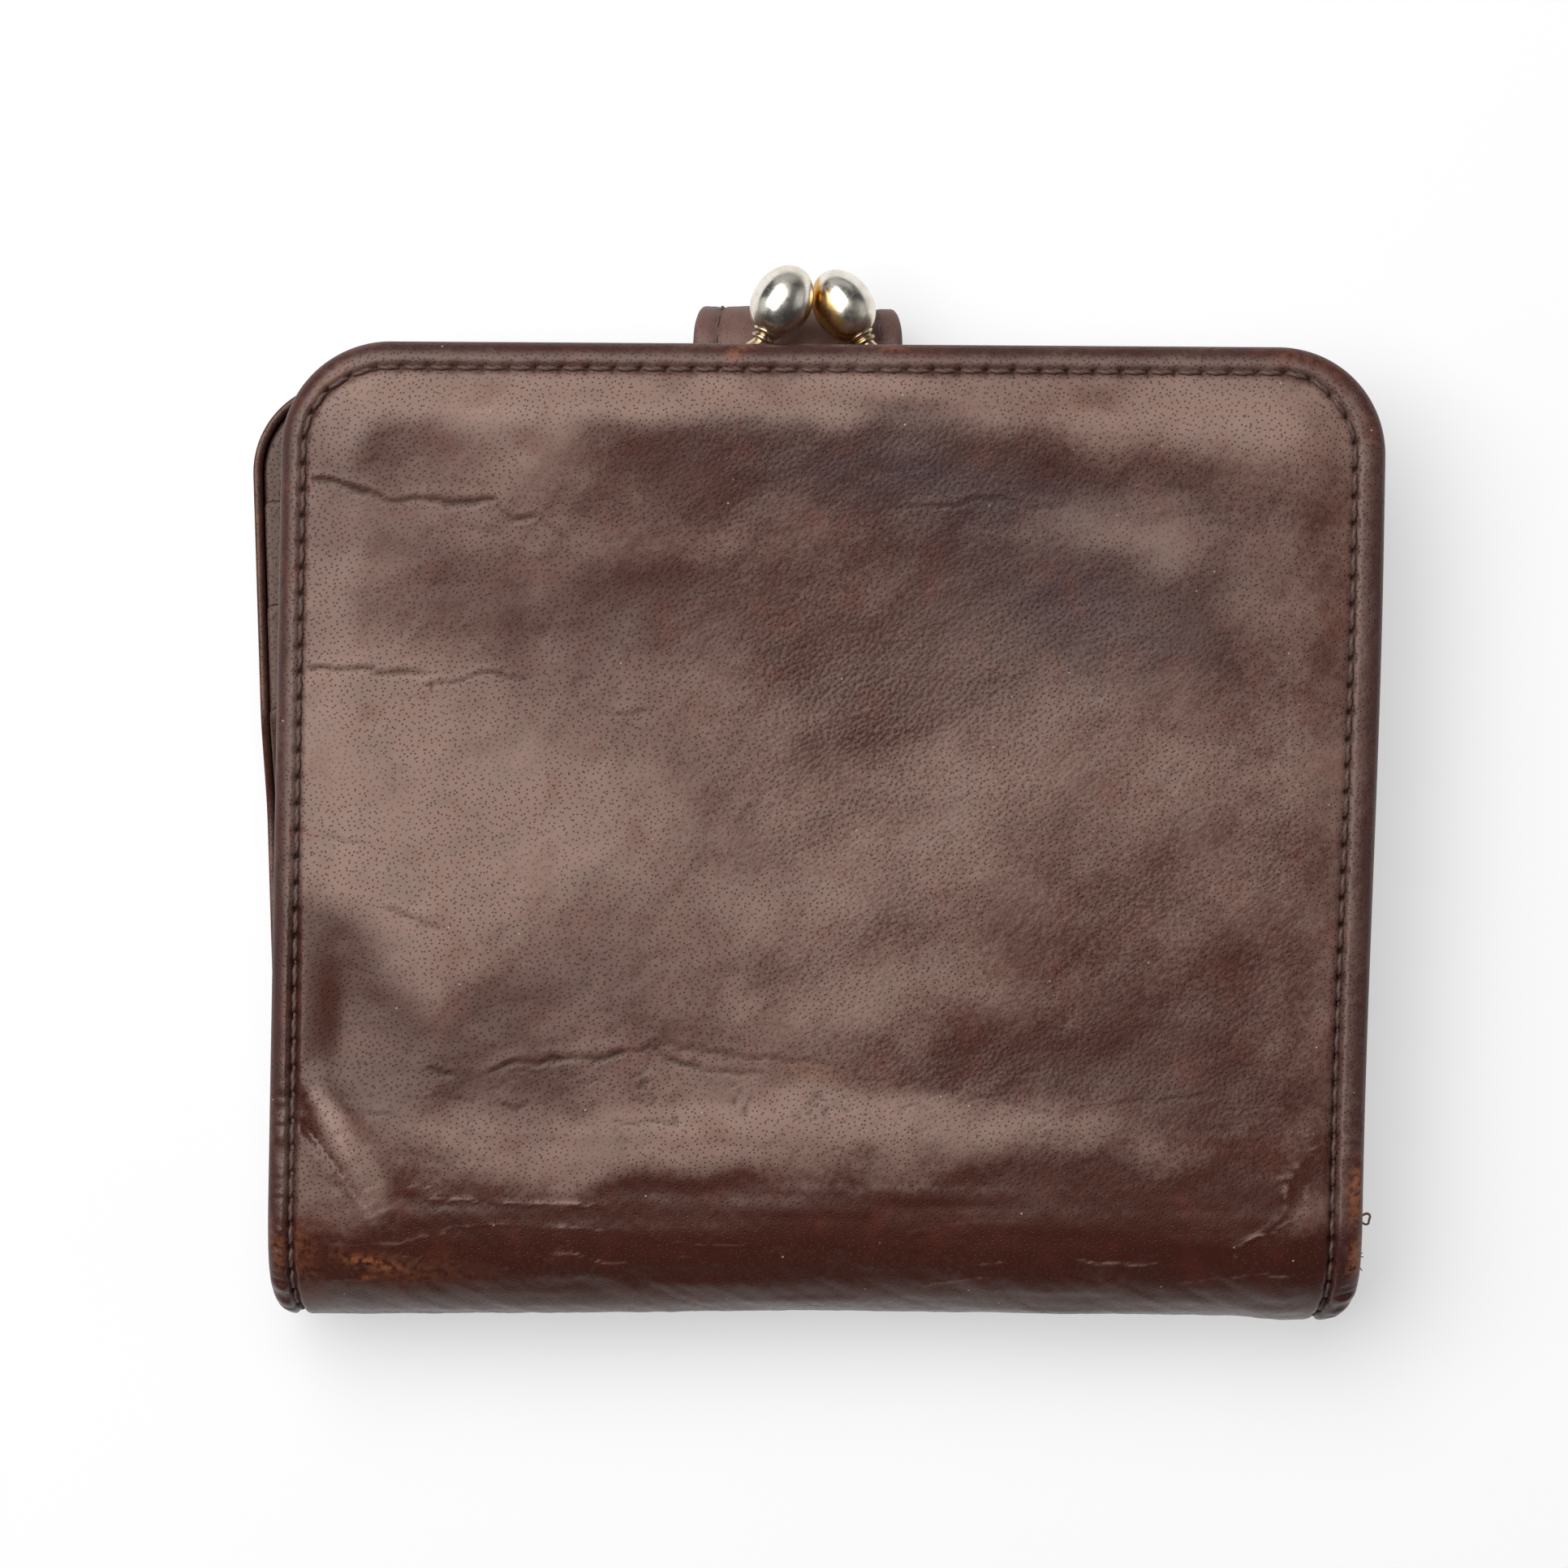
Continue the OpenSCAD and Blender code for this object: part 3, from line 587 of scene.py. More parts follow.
def hide_relief(x, s):
    """Height of the hide above the closed wallet's outer face."""
    d = HIDE.gap(x, s)
    groove = groove_in(x)
    front = smooth(-ROLL / 2 - 6, -ROLL / 2 + 6, s)
    y = np.where(front > 0.5, SPINE_Y + s, SPINE_Y - s - ROLL)
    h = -FACE_DROP - BAND_DROP * (1 - np.sqrt(1 - (np.clip(BAND_RUN - d, 0, BAND_RUN) / BAND_RUN) ** 2))
    deep = 0.34 + 0.5 * smooth(5, -25, y) * (np.abs(x) > SIDE_X)
    h = h - deep * bell(d - groove, 0.38)
    h = h + (0.1 + 0.4 * front) * smooth(groove + 0.2, groove + 6.5, d)
    inner = smooth(groove + 0.3, groove + 5, d)
    # broad rise and fall of the stuffed purse
    broad = 0.45 * rumple(x + 3, s, 30, 24, 3, 2) + 0.10 * rumple(x, s, 9, 7, 9, 2)
    broad = ovals(x, y, SWELLS, broad)
    h = h + inner * broad * front
    # fine wrinkles that run along the spine
    low = smooth(16, 3, s) * smooth(-ROLL - 14, -ROLL, s)
    h = h + inner * low * (0.07 * rumple(x, s, 13, 1.5, 21) + 0.05 * rumple(x, s, 26, 3.5, 25))
    h = h + inner * 0.02 * rumple(x, s, 2.4, 1.7, 31, 2)
    # the band: kinks near the spine, and a scalloped inner edge
    band = bell(d - 1.2, 0.9)
    lump = 0.05 * noise(s / 3.1, x / 9, 41) + 0.04 * noise(x / 3.1, s / 9, 43)
    h = h + band * (lump + side_kinks(s) * (np.abs(x) > SIDE_X))
    creases, dark = crease_relief(x, y, CREASES, 51)
    more, _ = crease_relief(x, y, CARD_CREASES, 61)
    pale, hair = hairlines(x, s, y)
    clear = smooth(groove + 0.2, groove + 1.6, d)
    h = h + np.where(front > 0.5, clear * creases + inner * (0.08 * pale - 0.08 * hair), inner * more)
    # the pinched fold, low at the left side
    on_front = (front > 0.5) & (np.abs(x + 50) < 12)
    gap, side, along = line_gap(x, y, FOLD_RIDGE)
    ends = smooth(0, 0.25, along) * smooth(1, 0.7, along)
    ridge = 0.75 * bell(gap, 1.05 + 1.3 * (side > 0)) * ends
    striae = (0.06 * noise(along * 34, gap / 3, 81) + 0.05 * rumple(x, y, 1.1, 0.7, 85, 2)) * bell(gap, 1.9)
    bent = 0.3 * rumple(x, y, 4, 4, 83, 1)
    gap2, _, along2 = line_gap(x + bent, y + bent, FOLD_VALLEY)
    valley = 0.55 * bell(gap2, 0.5) * smooth(0, 0.15, along2) * smooth(1, 0.6, along2)
    h = h + np.where(on_front, (ridge + striae - valley) * smooth(groove, groove + 1.2, d), 0)
    # holes of the seam
    near = np.abs(d - groove) < 1.1
    hole, px, ps = np.zeros(np.shape(x)), x[near], s[near]
    pull = np.zeros(px.shape)
    for hx, hs in HOLES:
        pull = np.maximum(pull, np.exp(-((px - hx) ** 2 + (ps - hs) ** 2) / HOLE_R ** 2))
    hole[near] = pull
    h = h - 0.45 * hole
    h = np.where(front < 0.5, np.minimum(h, BACK_CLEAR), h)
    return h, d, (clear * dark + 0.7 * inner * hair) * (front > 0.5), hole, pale * inner * front


# Soft patches of the face, see ovals(): a painted grey sheen, partly real wear, where positive; a painted
# deep red shade where negative.
SHEEN_SHADE_AND_WEAR = [
    # top row: a painted sheen below the seam, down to the first band of painted shade
    (-28, 44.5, 28, 2.8, 0, 0.8), (12, 44.5, 26, 2.4, 0, 0.4), (43, 42, 12, 4, -8, 0.6),
    (-51.5, 42, 2.2, 2.2, 0, 0.55), (6, 38, 25, 4.2, -3, -0.7), (-47, 38, 10, 3.6, 0, -0.26),
    (34, 38, 12, 4, 0, -0.12), (15, 30, 14, 4, -12, -0.18), (28, 30.5, 8, 3.5, 0, 0.48),
    (-14, 30, 10, 3, 0, 0.16), (-33, 37.5, 9, 4, 0, 0.36), (-46, 30, 8, 3, 0, -0.12),
    # middle band of painted shade
    (-46, 24, 10, 7, 0, 0.15), (-17, 22.5, 11, 4.8, 5, -0.6), (-18, 33, 18, 4, -10, -0.18),
    (-39, 26, 8, 4, 10, -0.16), (14, 22, 9, 4, 8, -0.52), (32, 22, 13, 5, -12, -0.5),
    (0, 17, 9, 4.5, 10, -0.4),
    # lighter left side: painted sheen
    (-48, 10, 11, 7, 0, 0.68), (-42, -4, 11, 9, 0, 0.85), (-27, 2, 12, 9, 10, 0.42),
    (-15, 11, 6, 4, 0, 0.18), (6, 12, 10, 4, 20, -0.3), (-40, -17, 6, 5, 0, 0.4),
    (-50, -4, 5, 6, 0, 0.3),
    # broad diagonal sheen
    (-3, -7, 15, 8, 30, 0.17), (12, 2, 22, 6, 38, 0.22), (32, 3, 16, 7, 30, 0.26),
    (51, 10, 5, 9, 0, 0.16), (48, 23, 5, 7, 0, 0.12), (6, -18, 14, 4, 10, 0.5),
    (40, -8, 6, 3, 10, 0.25),
    # hollows: painted shade, deep red
    (-31, -17, 8, 6, 35, -0.52), (-51.8, -21, 5.4, 9.8, 6, -1.8), (-41, -25, 7, 4, 0, -0.42),
    (-13, -17, 9, 4, 10, -0.08), (34, -9, 12, 4, 10, -0.14), (33, -20, 16, 6, 5, -0.25),
    (28, -26, 20, 3.5, 0, -0.5), (52, -20, 3, 10, -6, 0.1), (-10, -26, 9, 2.5, 0, 0.35),
    # sheen above the spine, and the spine painted deep red, a painted shade
    (-12, -32.5, 27, 3.4, 3, 0.92), (2, -32, 8, 3, 0, 0.28), (22, -31, 14, 3, 3, 0.2),
    (44, -33, 10, 4, 0, -0.22), (48, -34, 3, 5, -25, 0.45),
    (6, -40, 44, 3.2, 0, -1), (0, -47, 60, 5, 0, -0.85), (30, -38, 20, 3.5, 6, -0.65),
    (44, -38, 10, 4.5, 20, -0.2), (51, -40.5, 4.5, 2.8, 30, 0.85), (-50, -43.5, 5.5, 4, 0, 0.95),
    (-50.5, -46.5, 4.5, 2.4, 0, 0.6),
    (-36, -37, 9, 3, 0, -0.05),
]
VIOLET = [(12, 36, 20, 4.5, -8, 1.0), (26, 23, 15, 6, -18, 0.9), (-51.5, 42, 2.5, 2, 0, 0.8)]
# Orange scuffs.
SCUFFS = [
    (-46, -45.7, 3.4, 0.7, -10, 0.9), (-53.5, -45, 1.2, 2.6, 15, 0.5), (56.3, -36.5, 0.8, 2.4, -4, 1.3),
    (56.4, -44, 0.8, 1.8, -6, 1.6), (56.4, -39.5, 0.6, 1.6, 0, 0.6), (-9.5, 49.6, 1.6, 0.7, 30, 0.8),
    (6.5, 50, 1.4, 0.5, 0, 0.7),
    (-56, -45, 1, 2.2, 0, 0.7), (48, 49.2, 4, 0.8, -18, 0.35), (55.5, 42, 0.8, 3, 20, 0.3),
    (-0.5, -25.5, 3.4, 1, -12, 0.35), (-52, 46.5, 2.5, 0.8, 45, 0.35), (-40, -46.5, 6, 1.2, 0, 0.25),
    (-47.2, -45.5, 1.9, 0.22, -4, 1), (-44.4, -46.1, 1, 0.18, -25, 0.9),
    (-46.8, -47.1, 1.4, 0.2, 6, 0.8),
]


def hide_masks(x, s, d, dark, hole, pale):
    front = s > -ROLL / 2
    around = ROLL_R * np.sin(np.clip(-s / ROLL_R, 0, 1.6))
    y = np.where(front, SPINE_Y + np.maximum(s, 0) - around, SPINE_Y - s - ROLL)
    wx = x + 2.2 * rumple(x, s, 9, 9, 101, 2)
    wy = y + 1.8 * rumple(x, s, 9, 9, 111, 2)
    tone = 0.37 + 0.10 * rumple(x, s, 18, 12, 121) + 0.07 * rumple(x, s, 4, 3, 131, 2)
    violet, wear = ovals(wx, wy, VIOLET), ovals(x, y, SCUFFS)
    # the patches: painted sheen and painted shade over the face, partly real wear
    tone = tone + np.where(front, ovals(wx, wy, SHEEN_SHADE_AND_WEAR), 0)
    # the band is darker and cooler; its outer side, where the edge rolls over, is painted deep red, a
    # painted shade
    band = smooth(3.6, 2.4, d)
    tone = tone * (1 - 0.75 * band) + band * (0.34 - 0.34 * smooth(2.0, 0.5, d))
    # painted shade: the roll of the spine, turned away from the light, is painted deep red
    spine_shade = smooth(2, -6, s) * smooth(-ROLL - 8, -ROLL + 4, s)
    tone = tone * (1 - spine_shade) + spine_shade * (0.05 * rumple(x, s, 20, 2, 141))
    # painted highlight: a light line along the lower side of the fold's ridge; the pale lines, one of them
    # a painted highlight, lighten the tone too
    fold, side, along = line_gap(x, y, FOLD_RIDGE)
    bright = bell(fold * side - 0.6, 1.5) * smooth(0, 0.2, along) * smooth(1, 0.8, along)
    tone = tone + np.where(front, 1.2 * bright * (d > 3), 0) + 0.9 * pale
    groove = groove_in(x)
    # painted shade: darker in the creases, in the stitch holes and along the seam's groove; also darker at
    # the very edge
    seam_shadow = 0.25 + 0.15 * (np.abs(x) > SIDE_X) + 0.45 * smooth(10, -20, y) * (np.abs(x) > SIDE_X)
    dark = 0.95 * dark + 1.1 * smooth(0.3, 0.8, hole) + seam_shadow * bell(d - groove, 0.28)
    dark = dark + 0.35 * smooth(0.35, 0.0, d)
    wear = np.where(front, wear, 0)
    wear = wear + 0.30 * smooth(0.7, 0.15, d) * smooth(0.2, 0.9, noise(s / 3, x / 3, 151))
    # pebbles stand out from the middle to the right, but less at its upper and lower ends
    pebble = smooth(-22, 4, x + 0.3 * y + 3 * noise(x / 8, y / 8, 161))
    pebble = pebble * smooth(-40, -30, y) * smooth(4, 8, d)
    pebble = pebble * (1 - 0.65 * np.clip(hill(x, y, 34, -26, 26, 14) + hill(x, y, 40, 28, 16, 18), 0, 1))
    pebble = pebble * (1 - 0.55 * smooth(8, 26, y))
    violet = np.where(front, violet, 0) + 0.45 * band
    return {"tone": tone, "violet": violet, "wear": wear, "dark": dark, "pebble": pebble}


def surface_normals(x, s, h):
    points = np.stack(wrap_hide(x, s, h), -1)
    across, along = np.gradient(points, axis=1), np.gradient(points, axis=0)
    n = np.cross(across, along)
    return n / np.linalg.norm(n, axis=2)[..., None]


def skirt_depth(s):
    """How far down the hide's turned edge reaches at s."""
    front = FACE_Z - (HINGE_Z + SEAM_GAP)
    side = FACE_Z - WALL_Z - 0.1
    spine = 2.4
    d = side + (front - side) * smooth(S_HINGE - 0.3, S_HINGE + 0.3, s)
    d = d + (spine - d) * smooth(-ROLL / 2 + 1, -ROLL / 2 - 1.5, s)
    return d + (CARD_EDGE_TOP - spine) * smooth(-ROLL + 1, -ROLL - 2, s)


def add_skirt(leaf, x, s, h, inward, depth, inset, kinks=True):
    """Turned edge below a line of points: down the outside, round, and up the inside."""
    run = depth + h
    shares = np.linspace(0, 1, 9)
    out = 0.10 * noise(s[None, :] / 6 + 50, shares[:, None] * 3 + x[None, :] / 9, 171)
    out = out * np.sin(np.pi * shares)[:, None]
    if kinks:
        out = out + (side_kinks(s) * 0.5)[None, :] * np.sin(np.pi * shares)[:, None]
    rings = [(-out[k], -h + run * shares[k]) for k in range(len(shares))]
    rings += [(inset * 0.25, depth + 0.12), (inset * 0.7, depth + 0.10), (inset, depth - 0.25)]
    rings += [(inset, depth + (1.3 - depth) * t) for t in (0.25, 0.5, 0.75, 1.0)]
    ins = np.array([np.broadcast_to(a, x.shape) for a, b in rings])
    deep = np.array([np.broadcast_to(b, x.shape) for a, b in rings])
    px = x[None, :] + ins * inward[:, 0][None, :]
    ps = s[None, :] + ins * inward[:, 1][None, :]
    tone = 0.26 + 0.10 * noise(px / 5 + 9, ps / 5, 181)
    level = np.arange(len(rings))[:, None]
    line = bell(deep + h - 0.35 * run, 0.3) * (level < 9)
    dark = 0.25 * line + 0.6 * (level > 9)
    worn = 0.25 * smooth(0.3, 0.8, noise(ps / 4 + 7, px / 4, 191)) * (level > 5) * (level < 11)
    down, across = (np.abs(np.diff(a, axis=0, prepend=a[:1])) for a in (deep, ins))
    walk = np.cumsum(down + across, axis=0)
    grain = (x - walk * inward[:, 0], s - walk * inward[:, 1], np.broadcast_to(h, deep.shape))
    return leaf.add(px, ps, -deep, {"tone": tone, "dark": dark, "wear": worn}, grain=grain)


def inward_of(outline, x, s):
    """Inward direction of an outline at points on its edge."""
    e = 0.02
    gx = outline.gap(x * (1 - 1e-4) + e, s) - outline.gap(x * (1 - 1e-4) - e, s)
    gs = outline.gap(x * (1 - 1e-4), s + e) - outline.gap(x * (1 - 1e-4), s - e)
    n = np.hypot(gx, gs) + 1e-9
    return np.stack([gx / n, gs / n], -1)


def make_hide(leather):
    """The outer leather, in three pieces that meet edge to edge."""
    fine = [0, 0.06, 0.22, 0.46, 0.76, 1.1, 1.5, 1.8, 2.1, 2.35, 2.6, 2.85, 3.1, 3.35, 3.65, 4.0, 4.35]
    x, s = HIDE.grid(fine, 0.55, [(-ROLL / 2 - S_LOW, 0.7), (S_TOP - S_LOW, 0.28)])
    h, d, dark, hole, pale = hide_relief(x, s)
    edge = np.zeros(x.shape, bool)
    edge[0], edge[-1], edge[:, 0], edge[:, -1] = True, True, True, True
    h[edge] = -FACE_DROP - BAND_DROP
    masks = hide_masks(x, s, d, dark, hole, pale)
    normals = surface_normals(x, s, h)
    inward = inward_of(HIDE, x[edge], s[edge])
    here = np.stack(wrap_hide(x[edge], s[edge], h[edge]), -1)
    beyond = wrap_hide(x[edge] - 0.1 * inward[:, 0], s[edge] - 0.1 * inward[:, 1], h[edge])
    out = np.stack(beyond, -1) - here
    normals[edge] = out / np.linalg.norm(out, axis=1)[:, None]
    middle = x.shape[1] // 2
    last = x.shape[0] - 1
    cuts = [0, *np.searchsorted(s[:, middle], (-ROLL - ROLL_LAP, ROLL_LAP)), last]
    pieces = {}
    for name, first, stop in zip(("back_hide", "spine_hide", "coin_cover"), cuts, cuts[1:]):
        leaf, part = Leaf(), slice(first, stop + 1)
        index = leaf.add(x[part], s[part], h[part], {k: v[part] for k, v in masks.items()}, normals[part])
        leaf.skin(index)
        rows = np.arange(first, stop + 1)
        left = [(r, 0) for r in rows]
        right = [(r, -1) for r in rows[::-1]]
        if name == "coin_cover":
            strips = [left + [(last, c) for c in range(1, x.shape[1] - 1)] + right]
        elif name == "back_hide":
            strips = [right + [(0, c) for c in range(x.shape[1] - 2, 0, -1)] + left]
        else:
            strips = [left, right]
        for strip in strips:
            r, c = np.array(strip).T
            px, ps, ph = x[r, c], s[r, c], h[r, c]
            ring = add_skirt(leaf, px, ps, ph, inward_of(HIDE, px, ps), skirt_depth(ps), EDGE_T)
            leaf.normals[-1].reshape(*ring.shape, 3)[0] = normals[r, c]
            leaf.skin(ring)
        # the inside face of the leather
        near = np.append(np.arange(first, stop, 6), stop)
        cols = np.append(np.arange(0, x.shape[1] - 1, 8), x.shape[1] - 1)
        ix, isn = x[np.ix_(near, cols)], s[np.ix_(near, cols)]
        shrink = 1 - (EDGE_T - 0.1) / HALF_W
        isn = np.clip(isn, S_LOW + EDGE_T, S_TOP - EDGE_T)
        inner = leaf.add(ix * shrink, isn, -SKIN_T, {"tone": 0.3 + 0 * ix, "dark": 0.3 + 0 * ix})
        leaf.skin(inner, flip=True)
        pieces[name] = leaf.make(name, wrap_hide, leather, "cover_leather")
    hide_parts("front_cover", "front_binding", "cover_fold")
    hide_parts("spine_cover", "side_bindings")
    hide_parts("back_cover", "card_binding")
    fold_clasp(pieces["coin_cover"])
    fold_spine(pieces["spine_hide"])
    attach(pieces["back_hide"], "card_half")


def metres(*p):
    return tuple(c * MM for c in p)


def fold_clasp(obj):
    """Bakes the transform of a piece of the coin half into its mesh."""
    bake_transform(obj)


def fold_spine(obj):
    """Bakes the transform of a piece at the spine into its mesh."""
    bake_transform(obj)


def fold_strap(obj):
    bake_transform(obj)


def stitch(leaf, place, a, b, surface, radius=0.27, high=0.34):
    """One twisted stitch from hole a to hole b along a seam."""
    t = np.linspace(0, 1, 9)
    slack = 0.12
    p = place(a + (b - a) * (slack + (1 - 2 * slack) * t))
    h = surface(p[:, 0], p[:, 1])
    mid = surface(*place(np.array([(a + b) / 2])).T)
    h = np.maximum(h, mid - 0.25) + high * np.sin(np.pi * t) ** 0.6 - 0.12
    h[[0, -1]] -= 0.25
    tube(leaf, np.stack([p[:, 0], p[:, 1], h], -1), radius, twist=5.5, lobes=0.22)


def hide_surface(x, s):
    return hide_relief(x, s)[0]


def make_hide_seams(thread):
    """Stitches round the whole hide, in one piece for each part of it that moves."""
    parts = {"coin_seam": Leaf(), "spine_seam": Leaf(), "card_seam": Leaf()}
    for hole in SEAM_HOLES:
        s = SEAM_AT(hole + SEAM_STEP / 2)[1]
        key = "coin_seam" if s > ROLL_LAP else "spine_seam" if s > -ROLL - ROLL_LAP else "card_seam"
        stitch(parts[key], SEAM_AT, hole, hole + SEAM_STEP, hide_surface)
    made = {k: leaf.make(k, wrap_hide, thread, "thread") for k, leaf in parts.items()}
    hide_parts("front_stitching", "side_stitching")
    fold_clasp(made["coin_seam"])
    fold_spine(made["spine_seam"])
    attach(made["card_seam"], "card_half")


def make_frays(thread):
    """A loose loop of thread and a torn tuft at the bound edge's lower right."""
    leaf = Leaf()
    turn = np.linspace(-0.3, 2.15 * math.pi, 22)[:, None]
    wide = np.linspace(0.78, 0.45, 22)[:, None] * (1 + 0.2 * np.sin(3 * turn + 1))
    loop = np.array([57.75, -40.1, 15.9]) + wide * np.concatenate(
        [-np.cos(turn), 0.85 * np.sin(turn), 0.35 * np.sin(2 * turn)], axis=1)
    tube(leaf, loop, np.linspace(0.16, 0.09, 22))
    for k in range(9):
        lean = 0.5 * lattice(k, 3, 501)
        t = np.linspace(0, 1, 6)[:, None]
        root = np.array([57.0, -45.2 + 0.2 * k, 13.5 + 1.2 * lattice(k, 5, 502)])
        reach = (0.75 + 0.35 * lattice(k, 7, 503)) * np.array([1.0, lean, 0.4])
        curl = np.array([0.0, -0.5, 0.3]) * lattice(k, 9, 504)
        tube(leaf, root + t * reach + t * t * curl, 0.14 - 0.1 * t[:, 0], sides=6)
    tuft = leaf.make("frayed_edge", as_is, thread, "thread")
    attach(tuft, "coin_half")


# ---- rest of the coin half ----

REAR = Outline(HALF_W - 0.1, 0, S_TOP, 0, CORNER_R - 0.1)


def wrap_rear(x, s, h):
    """The rear wall's outer face looks down."""
    return *spread(x, SPINE_Y + s), WALL_Z - h


def make_rear_shell(leather):
    fine = [0, 0.1, 0.35, 0.8, 1.4, 2.0, 2.5, 3.0, 3.6]
    x, s = REAR.grid(fine, 1.1)
    d = REAR.gap(x, s)
    r = 0.8
    h = -(r - np.sqrt(r * r - np.clip(r - d, 0, r) ** 2)) - 0.15 * bell(d - SEAM_IN, 0.4)
    h = h - 0.12 * smooth(3, 8, d) + smooth(3, 8, d) * 0.06 * rumple(x, s, 16, 12, 201)
    edge = np.zeros(x.shape, bool)
    edge[-1], edge[:, 0], edge[:, -1] = True, True, True
    h[edge] = -r
    leaf = Leaf()
    tone = 0.30 + 0.12 * rumple(x, s, 12, 10, 211)
    # painted shade in the seam's groove
    index = leaf.add(x, s, h, {"tone": tone, "dark": 0.5 * bell(d - SEAM_IN, 0.4)})
    leaf.skin(index, flip=True)
    rows = np.arange(x.shape[0])
    end = [(rows[-1], c) for c in range(1, x.shape[1] - 1)]
    strip = [(k, 0) for k in rows] + end + [(k, -1) for k in rows[::-1]]
    a, b = np.array(strip).T
    px, ps, ph = x[a, b], s[a, b], h[a, b]
    depth = 1.1 + (HINGE_Z - SEAM_GAP - WALL_Z - 1.1) * smooth(S_HINGE - 0.2, S_HINGE + 0.5, ps)
    ring = add_skirt(leaf, px, ps, ph, inward_of(REAR, px, ps), depth, REAR_EDGE_T, kinks=False)
    leaf.skin(ring, flip=True)
    ix, isn = x[::3, ::3], np.clip(s[::3, ::3], 0, S_TOP - EDGE_T)
    inner = leaf.add(ix * 0.985, isn, -(WALL_TOP - WALL_Z), {"tone": 0.3 + 0 * ix})
    leaf.skin(inner)
    shell = leaf.make("rear_shell", wrap_rear, leather, "inner_leather")
    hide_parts("rear_wall", "rear_binding")
    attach(shell, "coin_half")


BALL_HALF, BALL_R = 4.0, 3.25      # half of a ball's length, and its radius


def ball_profile(half, r, tip=1.06):
    """Egg of a clasp ball, with its collar rings; the blunt end stands on the collar."""
    rings = [(-0.75, 0.85), (-0.6, 1.2), (-0.4, 1.32), (-0.2, 1.2), (-0.1, 1.0), (0.02, 1.12),
             (0.18, 1.38), (0.38, 1.48), (0.55, 1.42)]
    collar = [(-half + up, wide) for up, wide in rings]
    start = 0.30
    t = start + (math.pi - start) * np.linspace(0, 1, 40)
    egg = []
    for a in t:
        along = -half * math.cos(a)
        egg.append((along, r * math.sin(a) * (1 + 0.05 * math.cos(a + 0.25)) / tip * 1.05))
    egg = [p for p in egg if p[1] > 1.40 or p[0] > 0]
    egg[-1] = (half, 0.001)
    return collar + egg


def make_ball(name, node, foot, centre, lean, body, metal, stem_r):
    lean = math.radians(lean)
    axis = np.array([math.sin(lean), math.cos(lean), 0])
    centre, foot = np.array(centre), np.array(foot)
    on_left = centre[0] < -2
    leaf = Leaf()

    def gilt(ring):
        """Where the plating has worn to the yellow metal: low, and facing the other ball."""
        rel = ring - centre
        toward = (rel[..., 0] * (1 if on_left else -1)) / 3.1
        low = -rel[..., 2] / 3.1
        base = smooth(-2.0, -4.4, rel @ axis)
        wave = 0.25 * noise(rel[..., 0] * 0.9, rel[..., 1] * 0.9 + rel[..., 2] * 0.6, 221)
        share = 0.35 if on_left else 0.95
        w = smooth(0.45, 0.95, toward + 0.5 * low + wave) * share + 0.55 * base
        if not on_left:
            w = w + 0.9 * smooth(0.0, 0.45, toward - rel[..., 1] / 5.0 + wave - 0.15)
        dark = 0.5 * smooth(-3.5, -4.2, rel @ axis) * (rel @ axis > -4.4)
        return {"wear": np.clip(w, 0, 1), "dark": dark}

    lathe(leaf, ball_profile(BALL_HALF, BALL_R), centre, axis, 64, gilt)
    neck = centre - axis * 4.5
    t = np.linspace(0, 1, 14)[:, None]
    bend = neck - axis * 0.9
    path = (1 - t) ** 2 * foot + 2 * t * (1 - t) * bend + t ** 2 * neck
    radius = stem_r[0] + (stem_r[1] - stem_r[0]) * t[:, 0]
    tube(leaf, path, radius, sides=24, masks={"wear": 0.6 + np.zeros((14, 25))})
    obj = leaf.make(name, as_is, metal, "clasp_plating")
    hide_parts(node)
    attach(obj, body)


def make_balls(metal):
    front_z = box_mm("front_frame")[1][2] - 2
    rear_z = box_mm("rear_frame")[0][2] + 2
    ball_z = HINGE_Z + 1.3
    make_ball("front_clasp_ball", "front_ball", (-9.9, 49, front_z), (-5.1, 55.15, ball_z),
              26.6, "coin_front", metal, (0.95, 0.8))
    make_ball("rear_clasp_ball", "rear_ball", (5.6, 49, rear_z), (1.28, 55.05, HINGE_Z - 1.3),
              -31, "coin_half", metal, (1.2, 0.85))


